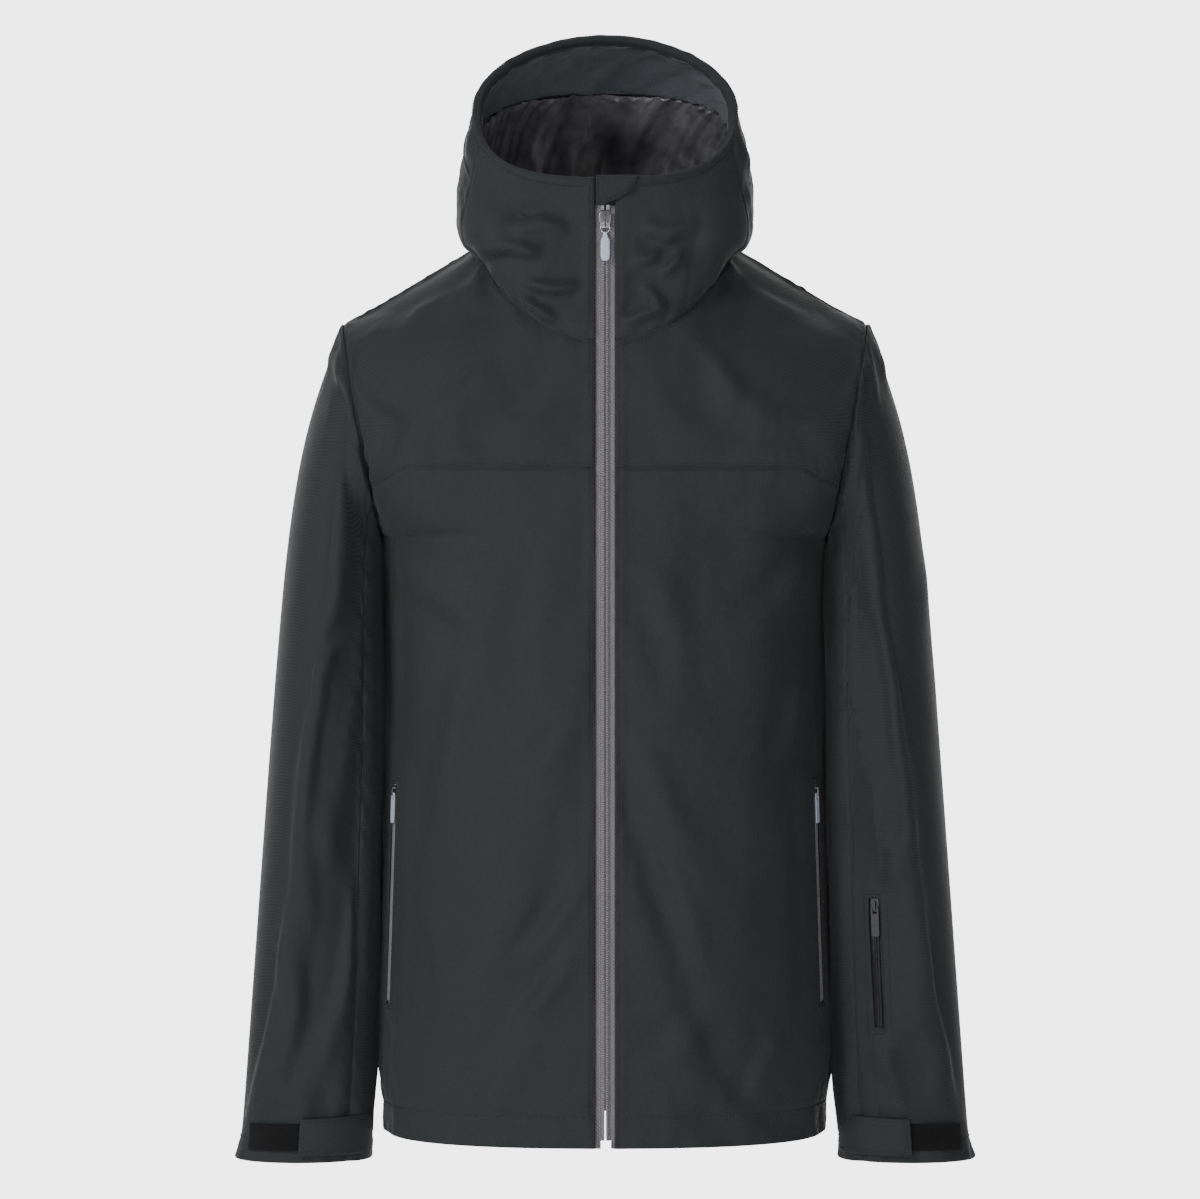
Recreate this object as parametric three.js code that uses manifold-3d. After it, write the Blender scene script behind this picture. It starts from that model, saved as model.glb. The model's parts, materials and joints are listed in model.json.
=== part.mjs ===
// Ski jacket: an insulated, hooded jacket with a full-length front zip, two zipped hand pockets,
// a zipped pass pocket on the left forearm and hook-and-loop cuff tabs.
// Millimetres. +X is the wearer's left, -Y is the front and +Z is up.
// The origin is in the middle of the neck opening, level with the neck points of the shoulders.

import * as THREE from 'three';
import Module from 'manifold-3d';
import { mergeVertices } from 'three/addons/utils/BufferGeometryUtils.js';

const wasm = await Module();
wasm.setup();

// ---- Body sizes ----
const BODY_LENGTH = 762;         // neck point down to the hem
const BODY_HALF_WIDTH = 190;     // centre front to the side seam, jacket closed
const WAIST_TUCK = 2;            // how much the sides come in at the waist
const HIP_FLARE = 3;             // how much they go out at the hip
const HEM_TUCK = 4;              // how much they come back in at the hem
const FRONT_DEPTH_HEM = 128;     // side seam plane to the zip, at the hem
const FRONT_DEPTH_CHIN = 105;    // the same at the top of the collar
const BACK_DEPTH = 125;          // side seam plane to the centre back, at the chest
const BACK_DEPTH_NECK = 104;     // the same at the nape
const BODY_ROUNDNESS = 2.4;      // exponent of the body's rounded cross-section

// ---- Shoulders, neck and armholes ----
const NECK_POINT_Z = 6;          // where the shoulder seam meets the neck seam
const NECK_HALF_WIDTH = 107;     // centre to that point
const FRONT_NECK_DROP = 91;      // neck point down to the neck seam at centre front
const BACK_NECK_DROP = 14;       // neck point down to the neck seam at centre back
const SHOULDER_DROP = 70;        // neck point down to the shoulder tip
const SHOULDER_OVERHANG = 34;    // how far the shoulder tip stands out past the side seam
const SHOULDER_ROLL = 140;       // height over which the shoulder rolls to the full depth
const ARMHOLE_HEIGHT = 181;      // shoulder tip down to the armpit
const ARMHOLE_HALF_DEPTH = 80;
const FRONT_YOKE_DROP = 197;     // neck point down to the chest seam
const YOKE_CORNER_DROP = 14;     // how much that seam dips where it meets the armhole
const BACK_YOKE_DROP = 160;

// ---- Sleeves ----
const SLEEVE_LENGTH = 714;       // shoulder tip down to the end of the cuff
const SLEEVE_CLEARANCE = 2;      // side seam to the inner edge of the sleeve
const ELBOW_HALF_DEPTH = 74;
const CUFF_HALF_DEPTH = 43;
const CUFF_STAND_OFF = 13;       // extra gap between the body and the cuff
const CUFF_FLARE = 93;           // how far the cuff's outer edge stands out past the shoulder tip
const ARM_FORWARD = 12;          // how far the cuff hangs forward of the shoulder

// ---- Hood ----
const COLLAR_HEIGHT = 135;       // neck seam to the chin edge at centre front
const HOOD_HEIGHT = 135;         // chin edge to the top of the rim
const RIM_HALF_WIDTH = 110;
const RIM_TOP_BACK = 115;        // how far the top of the rim lies behind the chin edge
const HOOD_SIDE_BULGE = 30;      // how far the hood slumps out over the shoulders
const HOOD_BACK_BULGE = 70;
const CROWN_BULGE = 95;          // how far the crown carries back behind the rim
const FACING_START = 0.74;       // where the facing starts, on the way from neck seam to rim
const FACING_GAP = 0.006;        // clearance between lining and facing, on the same way

// ---- Cloth layers, measured inwards from the outer face ----
const SHELL = { outer: 0, inner: 1.2 };
const POCKET_CLOTH = { outer: 5.2, inner: 5.8 };
const PASS_BAG = { outer: 5.9, inner: 6.25 };
const INSULATION = { outer: 6.4, inner: 10.4 };
const LINING = { outer: 11, inner: 11.8 };
const LINING_HEM_GAP = 14;       // the lining and the padding end this far above the hem and cuff
const SEAM_GAP = 0.3;            // clearance between two cloth pieces that meet in a seam
const SET_IN_GAP = 0.8;          // clearance where sleeves and hood are set in
const ZIP_EDGE = 8;              // centre line to the cloth edge beside the front zip
const PADDING_EDGE = 17;         // centre line to the edge of the padding
const LINING_EDGE = 12;

// ---- Zips ----
const MAIN_ZIP = {
  chainHalf: 3.6, slot: 0.8, coilHeight: 2.4, tapeHalf: 14, tapeThick: 0.8, tapeInset: 1.9,
  sliderHalf: 5.6, sliderLength: 15, plate: 1.3, bridgeHeight: 3.2, pullWidth: 8, pullLength: 23,
};
const POCKET_ZIP = {
  chainHalf: 2.6, slot: 0.7, coilHeight: 1.8, tapeHalf: 8, tapeThick: 0.6, tapeInset: 2.2,
  sliderHalf: 3.8, sliderLength: 11, plate: 1, bridgeHeight: 2.6, pullWidth: 7, pullLength: 25,
};
const RUNNING_GAP = 0.3;         // clearance between a slider and its chain
const MAIN_ZIP_TOP_Z = 28.5;     // upper end of the front zip
const RETAINER_HEIGHT = 7;
const TOP_STOP_LENGTH = 4;
const HAND_ZIP_TOP_Z = -457;
const HAND_ZIP_LENGTH = 186;
const HAND_ZIP_SLANT = 0.08;     // sideways shift of each end, as a share of its panel strip
const PASS_ZIP_TOP_Z = -552;
const PASS_ZIP_LENGTH = 112;
const ZIP_END = 7;               // tape past each end of the slot
const SLIT_HALF_WIDTH = 4.6;     // cut in the shell around a pocket zip

// ---- Trim ----
const CHIN_GUARD = { left: -8, right: 27.5, height: 25, corner: 9, thick: 1.8, lift: 2 };
const CUFF_TAB = { outer: -4.6, inner: -3 };
const HOOK_PATCH = { outer: -2.6, inner: -1.8 };
const LOOP_PATCH = { outer: -1.4, inner: -0.4 };
const CUFF_TAB_WIDTH = 30;
const CUFF_TAB_ABOVE_EDGE = 6;   // cuff edge up to the tab
const PATCH_BORDER = 4;          // how much narrower the hook and loop patches are, at each edge
const HANGER_LOOP = { width: 60, height: 20, cord: 3.5, strap: 6 };

// ---- Values that follow from the sizes above ----
const HEM_Z = NECK_POINT_Z - BODY_LENGTH;
const TIP_X = BODY_HALF_WIDTH + SHOULDER_OVERHANG;
const TIP_Z = NECK_POINT_Z - SHOULDER_DROP;
const ARMPIT_Z = TIP_Z - ARMHOLE_HEIGHT;
const CUFF_Z = TIP_Z - SLEEVE_LENGTH;
const SHOULDER_SLOPE = SHOULDER_DROP / (TIP_X - NECK_HALF_WIDTH);
const SLOPE_STRETCH = Math.hypot(1, SHOULDER_SLOPE);
const FRONT_NECK_Z = NECK_POINT_Z - FRONT_NECK_DROP;
const CHIN_Z = FRONT_NECK_Z + COLLAR_HEIGHT;
const ZIP_LEAN = (FRONT_DEPTH_HEM - FRONT_DEPTH_CHIN) / (CHIN_Z - HEM_Z);
const WAIST_Z = NECK_POINT_Z - 400;
const HIP_Z = NECK_POINT_Z - 680;

// ---- Colours ----
const shellCloth = new THREE.MeshStandardMaterial({ color: 0x15181b, roughness: 0.82 });
const liningCloth = new THREE.MeshStandardMaterial({ color: 0x0b0b0d, roughness: 0.35 });
const padding = new THREE.MeshStandardMaterial({ color: 0xd8d8d4, roughness: 0.95 });
const pocketCloth = new THREE.MeshStandardMaterial({ color: 0x17171a, roughness: 0.8 });
const greyTape = new THREE.MeshStandardMaterial({ color: 0x6d6a70, roughness: 0.7 });
const greyCoil = new THREE.MeshStandardMaterial({ color: 0x77747b, roughness: 0.45 });
const darkMetal = new THREE.MeshStandardMaterial({ color: 0x5a5960, roughness: 0.4, metalness: 0.9 });
const brightMetal = new THREE.MeshStandardMaterial({ color: 0xb9bcc4, roughness: 0.25, metalness: 1 });
const pullCloth = new THREE.MeshStandardMaterial({ color: 0x8f96ac, roughness: 0.7 });
const blackZip = new THREE.MeshStandardMaterial({ color: 0x0a0a0b, roughness: 0.6 });
const hookTape = new THREE.MeshStandardMaterial({ color: 0x060607, roughness: 0.95 });
const loopTape = new THREE.MeshStandardMaterial({ color: 0x08080a, roughness: 1 });

const jacket = new THREE.Group();

// ---------------------------------------------------------------------------
// Small helpers
// ---------------------------------------------------------------------------

const mix = (a, b, t) => a + (b - a) * t;
const clamp01 = (t) => Math.min(1, Math.max(0, t));
const smooth = (t) => clamp01(t) ** 2 * (3 - 2 * clamp01(t));
const radians = THREE.MathUtils.degToRad;
const power = (value, exponent) => Math.sign(value) * Math.abs(value) ** exponent;

// A value that eases from one station to the next; stations are [place, value] in rising order.
function eased(stations, place) {
  const last = stations.length - 1;
  let i = 0;
  while (i < last - 1 && place > stations[i + 1][0]) i += 1;
  const [p0, v0] = stations[i];
  const [p1, v1] = stations[i + 1];
  return mix(v0, v1, smooth((place - p0) / (p1 - p0)));
}

function signedVolume(position, index) {
  let volume = 0;
  const corner = [new THREE.Vector3(), new THREE.Vector3(), new THREE.Vector3()];
  for (let i = 0; i < index.length; i += 3) {
    corner.forEach((point, k) => point.fromArray(position, index[i + k] * 3));
    volume += corner[0].dot(corner[1].clone().cross(corner[2]));
  }
  return volume;
}

// A closed geometry whose faces point out, whichever way round its grid ran.
function closedGeometry(position, index) {
  if (signedVolume(position, index) < 0) index.reverse();
  const geometry = new THREE.BufferGeometry();
  geometry.setAttribute('position', new THREE.Float32BufferAttribute(position, 3));
  geometry.setIndex(index);
  return geometry;
}

// A cloth slab: a grid of surface points at two insets, joined by a rim.
// surface(u, v, inset) gives [x, y, z]; wrap joins the last column to the first, as in a tube.
function clothSlab(surface, us, vs, layer, wrap = false) {
  const columns = us.length;
  const rows = vs.length;
  const position = [];
  for (const inset of [layer.outer, layer.inner]) {
    for (const v of vs) for (const u of us) position.push(...surface(u, v, inset));
  }
  const at = (side, row, column) => (side * rows + row) * columns + (column % columns);
  const index = [];
  const quad = (a, b, c, d) => index.push(a, b, c, a, c, d);
  const strips = wrap ? columns : columns - 1;
  for (let row = 0; row < rows - 1; row += 1) {
    for (let column = 0; column < strips; column += 1) {
      quad(at(0, row, column), at(0, row, column + 1), at(0, row + 1, column + 1), at(0, row + 1, column));
      quad(at(1, row, column), at(1, row + 1, column), at(1, row + 1, column + 1), at(1, row, column + 1));
    }
  }
  for (let column = 0; column < strips; column += 1) {
    quad(at(0, 0, column), at(1, 0, column), at(1, 0, column + 1), at(0, 0, column + 1));
    const end = rows - 1;
    quad(at(0, end, column + 1), at(1, end, column + 1), at(1, end, column), at(0, end, column));
  }
  for (let row = 0; row < rows - 1 && !wrap; row += 1) {
    quad(at(0, row + 1, 0), at(1, row + 1, 0), at(1, row, 0), at(0, row, 0));
    const end = columns - 1;
    quad(at(0, row, end), at(1, row, end), at(1, row + 1, end), at(0, row + 1, end));
  }
  return closedGeometry(position, index);
}

function toSolid(geometry) {
  const bare = geometry.clone();
  bare.deleteAttribute('normal');
  bare.deleteAttribute('uv');
  const merged = mergeVertices(bare, 1e-4);
  const vertProperties = Float32Array.from(merged.attributes.position.array);
  const triVerts = Uint32Array.from(merged.index.array);
  return new wasm.Manifold(new wasm.Mesh({ numProp: 3, vertProperties, triVerts }));
}

function fromSolid(solid) {
  const mesh = solid.getMesh();
  const geometry = new THREE.BufferGeometry();
  geometry.setAttribute('position', new THREE.Float32BufferAttribute(mesh.vertProperties, 3));
  geometry.setIndex(Array.from(mesh.triVerts));
  return geometry;
}

const cut = (geometry, tool) => fromSolid(toSolid(geometry).subtract(toSolid(tool)));
const join = (...pieces) => fromSolid(pieces.map(toSolid).reduce((whole, piece) => whole.add(piece)));

function add(parent, name, geometry, material) {
  const mesh = new THREE.Mesh(geometry, material);
  mesh.name = name;
  parent.add(mesh);
  return mesh;
}

// A box from its lowest to its highest corner.
function block(x0, x1, y0, y1, z0, z1) {
  const box = new THREE.BoxGeometry(x1 - x0, y1 - y0, z1 - z0);
  return box.translate((x0 + x1) / 2, (y0 + y1) / 2, (z0 + z1) / 2);
}

// ---------------------------------------------------------------------------
// Body surface
// ---------------------------------------------------------------------------

// Half width of the body at a height, below the armpit.
function sideX(z) {
  const half = BODY_HALF_WIDTH;
  const stations = [
    [HEM_Z, half - HEM_TUCK], [HIP_Z, half + HIP_FLARE], [WAIST_Z, half - WAIST_TUCK],
    [ARMPIT_Z, half],
  ];
  return eased(stations, Math.min(z, ARMPIT_Z));
}

// The armhole is a straight line in front view, from the shoulder tip down to the armpit.
const armholeX = (z) => mix(sideX(ARMPIT_Z), TIP_X, (z - ARMPIT_Z) / ARMHOLE_HEIGHT);

const edgeX = (z, inset) => (z < ARMPIT_Z ? sideX(z) - inset : armholeX(z));

const shoulderZ = (x, inset) => (
  NECK_POINT_Z + (NECK_HALF_WIDTH - x) * SHOULDER_SLOPE - inset * SLOPE_STRETCH);

// How far the armhole's edge stands in front of, or behind, the side seam plane.
function armholeDepth(z, inset) {
  const top = TIP_Z - inset * SLOPE_STRETCH;
  const bottom = ARMPIT_Z + inset;
  const across = (z - (top + bottom) / 2) / ((top - bottom) / 2);
  return (ARMHOLE_HALF_DEPTH - inset) * Math.sqrt(Math.max(0, 1 - across * across));
}

// The shoulder's roll: 0 on the shoulder line, 1 once the body has its full depth.
function shoulderRoll(x, z, inset) {
  const below = clamp01((shoulderZ(x, inset) - z) / SHOULDER_ROLL);
  return Math.sqrt(1 - (1 - below) ** 2);
}

const frontCentreDepth = (z) => FRONT_DEPTH_CHIN + (CHIN_Z - z) * ZIP_LEAN;
const backCentreDepth = (z) => mix(BACK_DEPTH_NECK, BACK_DEPTH, smooth((NECK_POINT_Z - z) / 200));

function bodyDepth(centreDepth, x, z, inset) {
  const edge = edgeX(z, inset);
  const roll = shoulderRoll(x, z, inset);
  const edgeRoll = Math.max(0.05, shoulderRoll(edge, z, inset));
  const edgeDepth = z > ARMPIT_Z ? armholeDepth(z, inset) / edgeRoll : 0;
  const share = clamp01(x / edge);
  const bow = (1 - share ** BODY_ROUNDNESS) ** (1 / BODY_ROUNDNESS);
  const depth = roll * mix(edgeDepth, centreDepth(z) - inset, bow);
  return Math.max(SEAM_GAP / 2, depth);
}

// face is -1 for the front and +1 for the back; side is +1 for the wearer's left.
function bodyPoint(face, side, x, z, inset) {
  const centreDepth = face < 0 ? frontCentreDepth : backCentreDepth;
  return [side * x, face * bodyDepth(centreDepth, x, z, inset), z];
}

// Columns of the body grid, from the centre line to the side or armhole. The strip from 62.5 to 81
// degrees holds the hand pocket's zip.
const BODY_COLUMNS = [0, 12, 24, 36, 49, 62.5, 81, 90];
const NECK_COLUMNS = 4;          // the first strips of the yoke that end at the neck seam
const columnShare = (degrees) => Math.sin(radians(degrees)) ** (2 / BODY_ROUNDNESS);

function neckZ(drop, x, inset) {
  const point = NECK_POINT_Z - inset * SLOPE_STRETCH;
  const bottom = NECK_POINT_Z - drop;
  return point - (point - bottom) * (1 - clamp01(x / NECK_HALF_WIDTH) ** 2) ** 0.6;
}

// The columns are the same in every layer, so that the layers stay parallel. Only the edge beside
// the front zip, column 0, moves with start.
const firstX = (face) => (face < 0 ? ZIP_EDGE : 0);
const columnX = (column, face, start, reach, share) => (
  column === 0 ? start : mix(firstX(face), reach, share));

// Where a body column meets the neck seam or the shoulder seam, as [x, z].
function yokeTop(column, face, drop, start, inset) {
  if (column <= NECK_COLUMNS) {
    const share = Math.sin(radians(90 * column / NECK_COLUMNS));
    const x = columnX(column, face, start, NECK_HALF_WIDTH, share);
    return [x, neckZ(drop, x, inset)];
  }
  const strips = BODY_COLUMNS.length - 1 - NECK_COLUMNS;
  const tipX = armholeX(TIP_Z - inset * SLOPE_STRETCH);
  const x = mix(NECK_HALF_WIDTH, tipX, (column - NECK_COLUMNS) / strips);
  return [x, shoulderZ(x, inset)];
}

// Lower edge of a yoke, straight across and dipping at the armhole.
const yokeSeamZ = (drop, share) => NECK_POINT_Z - drop - YOKE_CORNER_DROP * smooth((share - 0.8) / 0.2);

// On a yoke, v is -1 at the shoulder and 0 at the yoke seam.
function yokeSurface(face, side, start) {
  const front = face < 0;
  return (column, v, inset) => {
    const share = columnShare(BODY_COLUMNS[column]);
    const bottomZ = yokeSeamZ(front ? FRONT_YOKE_DROP : BACK_YOKE_DROP, share) + SEAM_GAP / 2;
    const bottomX = columnX(column, face, start, edgeX(bottomZ, inset), share);
    const drop = front ? FRONT_NECK_DROP : BACK_NECK_DROP;
    const [topX, topZ] = yokeTop(column, face, drop, start, inset);
    return bodyPoint(face, side, mix(bottomX, topX, -v), mix(bottomZ, topZ, -v), inset);
  };
}

// Below the yoke, v is the height: 0 at the yoke seam, 1 at the armpit, 2 at the pocket's top,
// 3 at the pocket's bottom and 4 at the hem.
const POCKET_MARGIN = 14;
const POCKET_TOP_Z = HAND_ZIP_TOP_Z + POCKET_MARGIN;
const POCKET_BOTTOM_Z = HAND_ZIP_TOP_Z - HAND_ZIP_LENGTH - POCKET_MARGIN;

function panelZ(v, seamZ, hemZ) {
  const levels = [seamZ, ARMPIT_Z, POCKET_TOP_Z, POCKET_BOTTOM_Z, hemZ];
  const level = Math.min(3, Math.floor(v));
  return mix(levels[level], levels[level + 1], v - level);
}

function panelSurface(face, side, start, hemGap = 0) {
  const drop = face < 0 ? FRONT_YOKE_DROP : BACK_YOKE_DROP;
  return (column, v, inset) => {
    const share = columnShare(BODY_COLUMNS[column]);
    const z = panelZ(v, yokeSeamZ(drop, share) - SEAM_GAP / 2, HEM_Z + hemGap);
    const x = columnX(column, face, start, edgeX(z, inset), share);
    return bodyPoint(face, side, x, z, inset);
  };
}

const COLUMNS = BODY_COLUMNS.map((degrees, column) => column);
const YOKE_ROWS = [-1, -0.94, -0.8, -0.58, -0.3, 0];
const PANEL_ROWS = [0, 1, 1.5, 2, 3, 4];

// Yoke and lower panel as one surface, with the rows of both.
function wholeSurface(face, side, start) {
  const yoke = yokeSurface(face, side, start);
  const panel = panelSurface(face, side, start, LINING_HEM_GAP);
  return (column, v, inset) => (v < 0 ? yoke(column, v, inset) : panel(column, v, inset));
}

const WHOLE_ROWS = [...YOKE_ROWS.slice(0, -1), ...PANEL_ROWS];

// The back runs across both sides: its columns are mirrored about the centre.
const BACK_COLUMNS = [...COLUMNS.slice(1).reverse().map((column) => -column), ...COLUMNS];
const acrossBack = (make) => {
  const left = make(1);
  const right = make(-1);
  return (column, v, inset) => (column < 0 ? right(-column, v, inset) : left(column, v, inset));
};

// ---------------------------------------------------------------------------
// Sleeve surface
// ---------------------------------------------------------------------------

const CUFF_INNER_X = BODY_HALF_WIDTH + CUFF_STAND_OFF;

// Outer and inner edge of the sleeve in front view, s = 0 at the armhole and 1 at the cuff.
function sleeveEdges(s, inset) {
  const flare = CUFF_FLARE * (0.45 * (1 - (1 - s) ** 9) + 0.55 * s);
  const upright = 1 - smooth(s / 0.3);
  const outerDrop = inset * SLOPE_STRETCH * upright;
  const outerX = armholeX(TIP_Z - outerDrop) + flare - inset * smooth(s / 0.1);
  const outerZ = mix(TIP_Z, CUFF_Z, s) - outerDrop;
  const innerZ = mix(ARMPIT_Z, CUFF_Z, s ** 1.5) + inset * upright;
  const beside = edgeX(innerZ, 0) + SLEEVE_CLEARANCE * smooth(s / 0.06);
  const innerX = mix(beside, CUFF_INNER_X, smooth((s - 0.8) / 0.2)) + inset * smooth(s / 0.1);
  return { outer: [outerX, outerZ], inner: [innerX, innerZ] };
}

function sleeveHalfDepth(s) {
  const stations = [[0, ARMHOLE_HALF_DEPTH], [0.45, ELBOW_HALF_DEPTH], [1, CUFF_HALF_DEPTH]];
  return eased(stations, s);
}

// angle is 0 on the outside of the arm, 90 at the front and 180 next to the body.
function sleevePoint(side, angle, s, inset) {
  const { outer, inner } = sleeveEdges(s, inset);
  const turn = (1 + Math.cos(radians(angle))) / 2;
  const forward = ARM_FORWARD * smooth(s);
  const x = mix(inner[0], outer[0], turn) + SET_IN_GAP * (1 - smooth(s / 0.1));
  const y = -(sleeveHalfDepth(s) - inset) * Math.sin(radians(angle)) - forward;
  return [side * x, y, mix(inner[1], outer[1], turn)];
}

const sleeveSurface = (side) => (angle, s, inset) => sleevePoint(side, angle, s, inset);

const UPPER_ANGLES = [-135, -90, -54, -18, 18, 54, 90, 135];
const UNDER_ANGLES = [135, 165, 195, 225];
const PASS_ROW = [0.66, 0.86];   // the flat stretch that holds the pass pocket
const TAB_END = 1 - CUFF_TAB_ABOVE_EDGE / SLEEVE_LENGTH;
const TAB_ROW = [TAB_END - CUFF_TAB_WIDTH / SLEEVE_LENGTH, TAB_END];
const SLEEVE_ROWS = [0, 0.06, 0.13, 0.24, 0.43, ...PASS_ROW, ...TAB_ROW, 1];

// ---------------------------------------------------------------------------
// Hood surface
// ---------------------------------------------------------------------------

const LOWER_RIM_ROUNDNESS = 2.6;
const UPPER_RIM_ROUNDNESS = 1.9;

// Neck seam at an angle: 0 at centre front, 90 at the neck point and 180 at the nape.
function neckSeam(angle) {
  const front = angle <= 90;
  const start = front ? ZIP_EDGE : 0;
  const x = mix(start, NECK_HALF_WIDTH, Math.sin(radians(angle)));
  const z = neckZ(front ? FRONT_NECK_DROP : BACK_NECK_DROP, x, 0);
  const [, y] = bodyPoint(front ? -1 : 1, 1, x, z, 0);
  return new THREE.Vector3(x, y, z + SET_IN_GAP);
}

// Rim of the hood at the same angle: the chin edge at 0 and the top of the opening at 180.
function hoodRim(angle) {
  const roundness = angle <= 90 ? LOWER_RIM_ROUNDNESS : UPPER_RIM_ROUNDNESS;
  const start = angle <= 90 ? ZIP_EDGE : 0;
  const wide = Math.sin(radians(angle)) ** (2 / roundness);
  const rise = (1 - power(Math.cos(radians(angle)), 2 / roundness)) / 2;
  const y = -FRONT_DEPTH_CHIN + RIM_TOP_BACK * rise;
  return new THREE.Vector3(mix(start, RIM_HALF_WIDTH, wide), y, CHIN_Z + HOOD_HEIGHT * rise);
}

// A profile from the neck seam (t = 0) to the rim (t = 1), bowed outwards.
function hoodProfile(angle, t) {
  const side = Math.sin(radians(angle)) ** 2;
  const back = angle > 90 ? 1 - side : 0;
  const front = angle <= 90 ? 1 - side : 0;
  const seam = neckSeam(angle);
  const rim = hoodRim(angle);
  const third = COLLAR_HEIGHT / 3;
  const low = { out: HOOD_SIDE_BULGE * side + HOOD_BACK_BULGE * back, up: third * front + 25 * side + 30 * back };
  const high = { out: 14 * side + CROWN_BULGE * back, up: -third * front - 30 * side + 5 * back };
  const outward = new THREE.Vector3(Math.sin(radians(angle)), -Math.cos(radians(angle)), 0);
  const bow = (from, way) => from.clone().addScaledVector(outward, way.out).add(new THREE.Vector3(0, 0, way.up));
  low.lean = -third * ZIP_LEAN * front;
  const lowControl = bow(seam, low);
  const highControl = bow(rim, high);
  lowControl.y -= low.lean;
  highControl.y += low.lean;
  return new THREE.CubicBezierCurve3(seam, lowControl, highControl, rim).getPoint(t);
}

function hoodSurface(side) {
  const small = 0.01;
  return (angle, t, inset) => {
    const point = hoodProfile(angle, t);
    const before = Math.max(0, angle - small);
    const after = Math.min(180, angle + small);
    const around = hoodProfile(after, t).sub(hoodProfile(before, t));
    const up = hoodProfile(angle, Math.min(1, t + small)).sub(hoodProfile(angle, Math.max(0, t - small)));
    const outward = around.cross(up).normalize();
    point.addScaledVector(outward, -inset);
    const x = angle >= 180 ? 0 : Math.max(point.x, SEAM_GAP / 2);
    return [side * x, point.y, point.z];
  };
}

const HOOD_ROWS = [0, 0.2, 0.42, 0.6, FACING_START, 0.88, 1];
const LOWER_HOOD_ROWS = HOOD_ROWS.filter((t) => t <= FACING_START);
const FACING_ROWS = HOOD_ROWS.filter((t) => t >= FACING_START);
const COLLAR_ANGLES = [0, 22.5, 45, 67.5];
const HOOD_SIDE_ANGLES = [67.5, 90, 112.5, 135, 150];
const HOOD_CENTRE_ANGLES = [150, 165, 180];
const HOOD_ANGLES = [...COLLAR_ANGLES, ...HOOD_SIDE_ANGLES.slice(1), ...HOOD_CENTRE_ANGLES.slice(1)];
// Across both sides, column 0 is the centre back and the columns are signed away from it.
const mirrored = (angles) => {
  const away = angles.map((angle) => 180 - angle).sort((a, b) => a - b);
  return [...away.slice(1).reverse().map((angle) => -angle), ...away];
};
const acrossHood = (column, t, inset) => (
  hoodSurface(column < 0 ? -1 : 1)(180 - Math.abs(column), t, inset));

// ---------------------------------------------------------------------------
// Cloth pieces
// ---------------------------------------------------------------------------

const SIDES = [['left', 1], ['right', -1]];

// A long box along a zip, used to cut the slit that the zip shows through.
function slitTool(frame, length) {
  const reach = 9;
  return block(-SLIT_HALF_WIDTH, SLIT_HALF_WIDTH, 0, length, -reach, reach).applyMatrix4(frame);
}

function addBody() {
  for (const [name, side] of SIDES) {
    const yoke = yokeSurface(-1, side, ZIP_EDGE);
    add(jacket, `front_yoke_${name}`, clothSlab(yoke, COLUMNS, YOKE_ROWS, SHELL), shellCloth);
    const panel = clothSlab(panelSurface(-1, side, ZIP_EDGE), COLUMNS, PANEL_ROWS, SHELL);
    const slit = slitTool(handZipFrame(side), HAND_ZIP_LENGTH);
    add(jacket, `front_panel_${name}`, cut(panel, slit), shellCloth);
    const inner = wholeSurface(-1, side, PADDING_EDGE);
    add(jacket, `front_padding_${name}`, clothSlab(inner, COLUMNS, WHOLE_ROWS, INSULATION), padding);
    const lining = wholeSurface(-1, side, LINING_EDGE);
    add(jacket, `front_lining_${name}`, clothSlab(lining, COLUMNS, WHOLE_ROWS, LINING), liningCloth);
    const bag = panelSurface(-1, side, ZIP_EDGE);
    const bagGrid = clothSlab(bag, COLUMNS.slice(3, 7), [2, 3], POCKET_CLOTH);
    add(jacket, `hand_pocket_bag_${name}`, bagGrid, pocketCloth);
  }
  const yoke = acrossBack((side) => yokeSurface(1, side, 0));
  add(jacket, 'back_yoke', clothSlab(yoke, BACK_COLUMNS, YOKE_ROWS, SHELL), shellCloth);
  const panel = acrossBack((side) => panelSurface(1, side, 0));
  add(jacket, 'back_panel', clothSlab(panel, BACK_COLUMNS, PANEL_ROWS, SHELL), shellCloth);
  const inner = acrossBack((side) => wholeSurface(1, side, 0));
  add(jacket, 'back_padding', clothSlab(inner, BACK_COLUMNS, WHOLE_ROWS, INSULATION), padding);
  add(jacket, 'back_lining', clothSlab(inner, BACK_COLUMNS, WHOLE_ROWS, LINING), liningCloth);
}

// The sleeve's two panels meet along seams behind and in front of the inner arm.
function addSleeve(name, side) {
  const surface = sleeveSurface(side);
  const gap = SEAM_GAP / 2;
  const upperAngles = [...UPPER_ANGLES];
  upperAngles[0] += gap;
  upperAngles[upperAngles.length - 1] -= gap;
  const upper = clothSlab(surface, upperAngles, SLEEVE_ROWS, SHELL);
  const slit = side > 0 ? slitTool(passZipFrame(), PASS_ZIP_LENGTH) : null;
  add(jacket, `upper_sleeve_${name}`, slit ? cut(upper, slit) : upper, shellCloth);
  const underAngles = [...UNDER_ANGLES];
  underAngles[0] += gap;
  underAngles[underAngles.length - 1] -= gap;
  add(jacket, `under_sleeve_${name}`, clothSlab(surface, underAngles, SLEEVE_ROWS, SHELL), shellCloth);
  const around = [...UPPER_ANGLES, ...UNDER_ANGLES.slice(1, -1)];
  const innerRows = [...SLEEVE_ROWS.slice(0, -2), 1 - LINING_HEM_GAP / SLEEVE_LENGTH];
  add(jacket, `sleeve_padding_${name}`, clothSlab(surface, around, innerRows, INSULATION, true), padding);
  add(jacket, `sleeve_lining_${name}`, clothSlab(surface, around, innerRows, LINING, true), liningCloth);
}

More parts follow.
